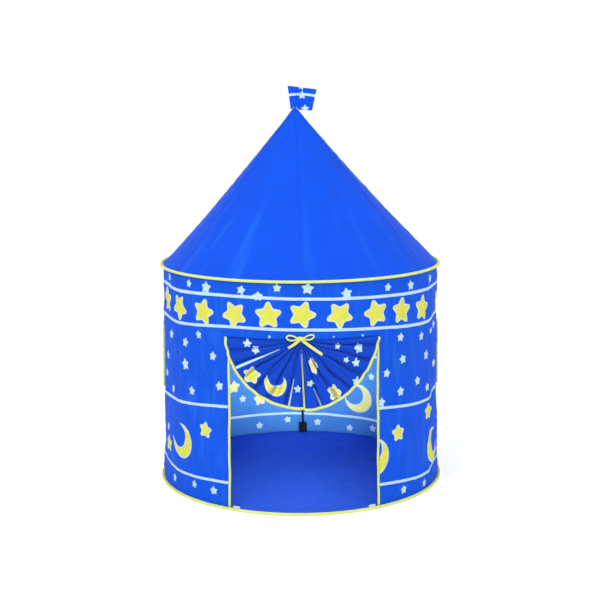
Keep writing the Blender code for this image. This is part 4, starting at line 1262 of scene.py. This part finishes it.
def world():
    """White all round, a little dimmer as light than it looks."""
    made = bpy.data.worlds.new("studio")
    bpy.context.scene.world = made
    recipe = Recipe(made)
    rays = recipe.node("ShaderNodeLightPath").outputs
    seen = recipe.math("MAXIMUM", rays["Is Camera Ray"], rays["Is Glossy Ray"])
    seen = recipe.math("MAXIMUM", seen, rays["Is Transmission Ray"])
    as_light, as_seen = 0.66, 1.0
    inputs = {"Color": WHITE, "Strength": recipe.remap(seen, 0.0, 1.0, as_light, as_seen)}
    background = recipe.node("ShaderNodeBackground", inputs)
    recipe.node("ShaderNodeOutputWorld", {"Surface": background.outputs[0]})


def lamp(name, place, size, power, target=(0, 0, 0.7), spread=180, hidden=False):
    """A round lamp that faces its target; a hidden one isn't seen, or mirrored in anything."""
    light = bpy.data.lights.new(name, "AREA")
    light.shape = "DISK"
    light.size = size
    light.energy = power
    light.spread = math.radians(spread)
    obj = put(name, light)
    obj.location = place
    obj.visible_camera = obj.visible_glossy = not hidden
    x, y, z = np.array(obj.location) - target
    obj.rotation_euler = (math.atan2(math.hypot(x, y), z), 0, math.atan2(x, -y))


def camera():
    """The camera that a fit to the photo gave: its place in metres and its turns in radians."""
    place = np.array([-0.10296, -4.54152, 1.43451])
    pitch, yaw, roll = 0.16755, 0.02247, 0.00552
    lens, sensor = 72.87, 36.0
    right = np.array([math.cos(yaw), -math.sin(yaw), 0.0])
    ahead = np.array([math.sin(yaw) * math.cos(pitch), math.cos(yaw) * math.cos(pitch), -math.sin(pitch)])
    up = np.cross(right, ahead)
    right, up = right * math.cos(roll) - up * math.sin(roll), right * math.sin(roll) + up * math.cos(roll)
    data = bpy.data.cameras.new("photo_camera")
    data.lens, data.sensor_width = lens, sensor
    obj = put("photo_camera", data)
    matrix = np.eye(4)
    matrix[:3] = np.stack([right, up, -ahead, place], 1)
    obj.matrix_world = Matrix(matrix.tolist())
    bpy.context.scene.camera = obj


camera()
world()
stage()
lamp("key", (-2.5, -3.1, 3.3), size=3.2, power=79)
lamp("fill", (2.6, -2.4, 2.2), size=3.0, power=31)
lamp("inside", (0, -0.30, 0.24), 0.22, 2.5, target=(0, 0.5, 0.41), spread=76, hidden=True)
lamp("over_floor", (-0.05, -0.20, 0.46), 0.46, 0.86, target=(-0.05, -0.20, 0), spread=140, hidden=True)
hard_parts()
sleeve("eave_sleeve_tape", "eave_hoop_sleeve", EAVE_RADIUS, EAVE_HEIGHT, 41)
sleeve("floor_sleeve_tape", "floor_hoop_sleeve", FLOOR_RADIUS, SLEEVE_HEIGHT / 2, 42)
floor_cloth()
walls()
roof()
for name, side in (("left", -1), ("right", 1)):
    window_tape(name, side)
    window_net(name, side)
door()
flag()
bpy.context.scene.view_settings.view_transform = "Standard"
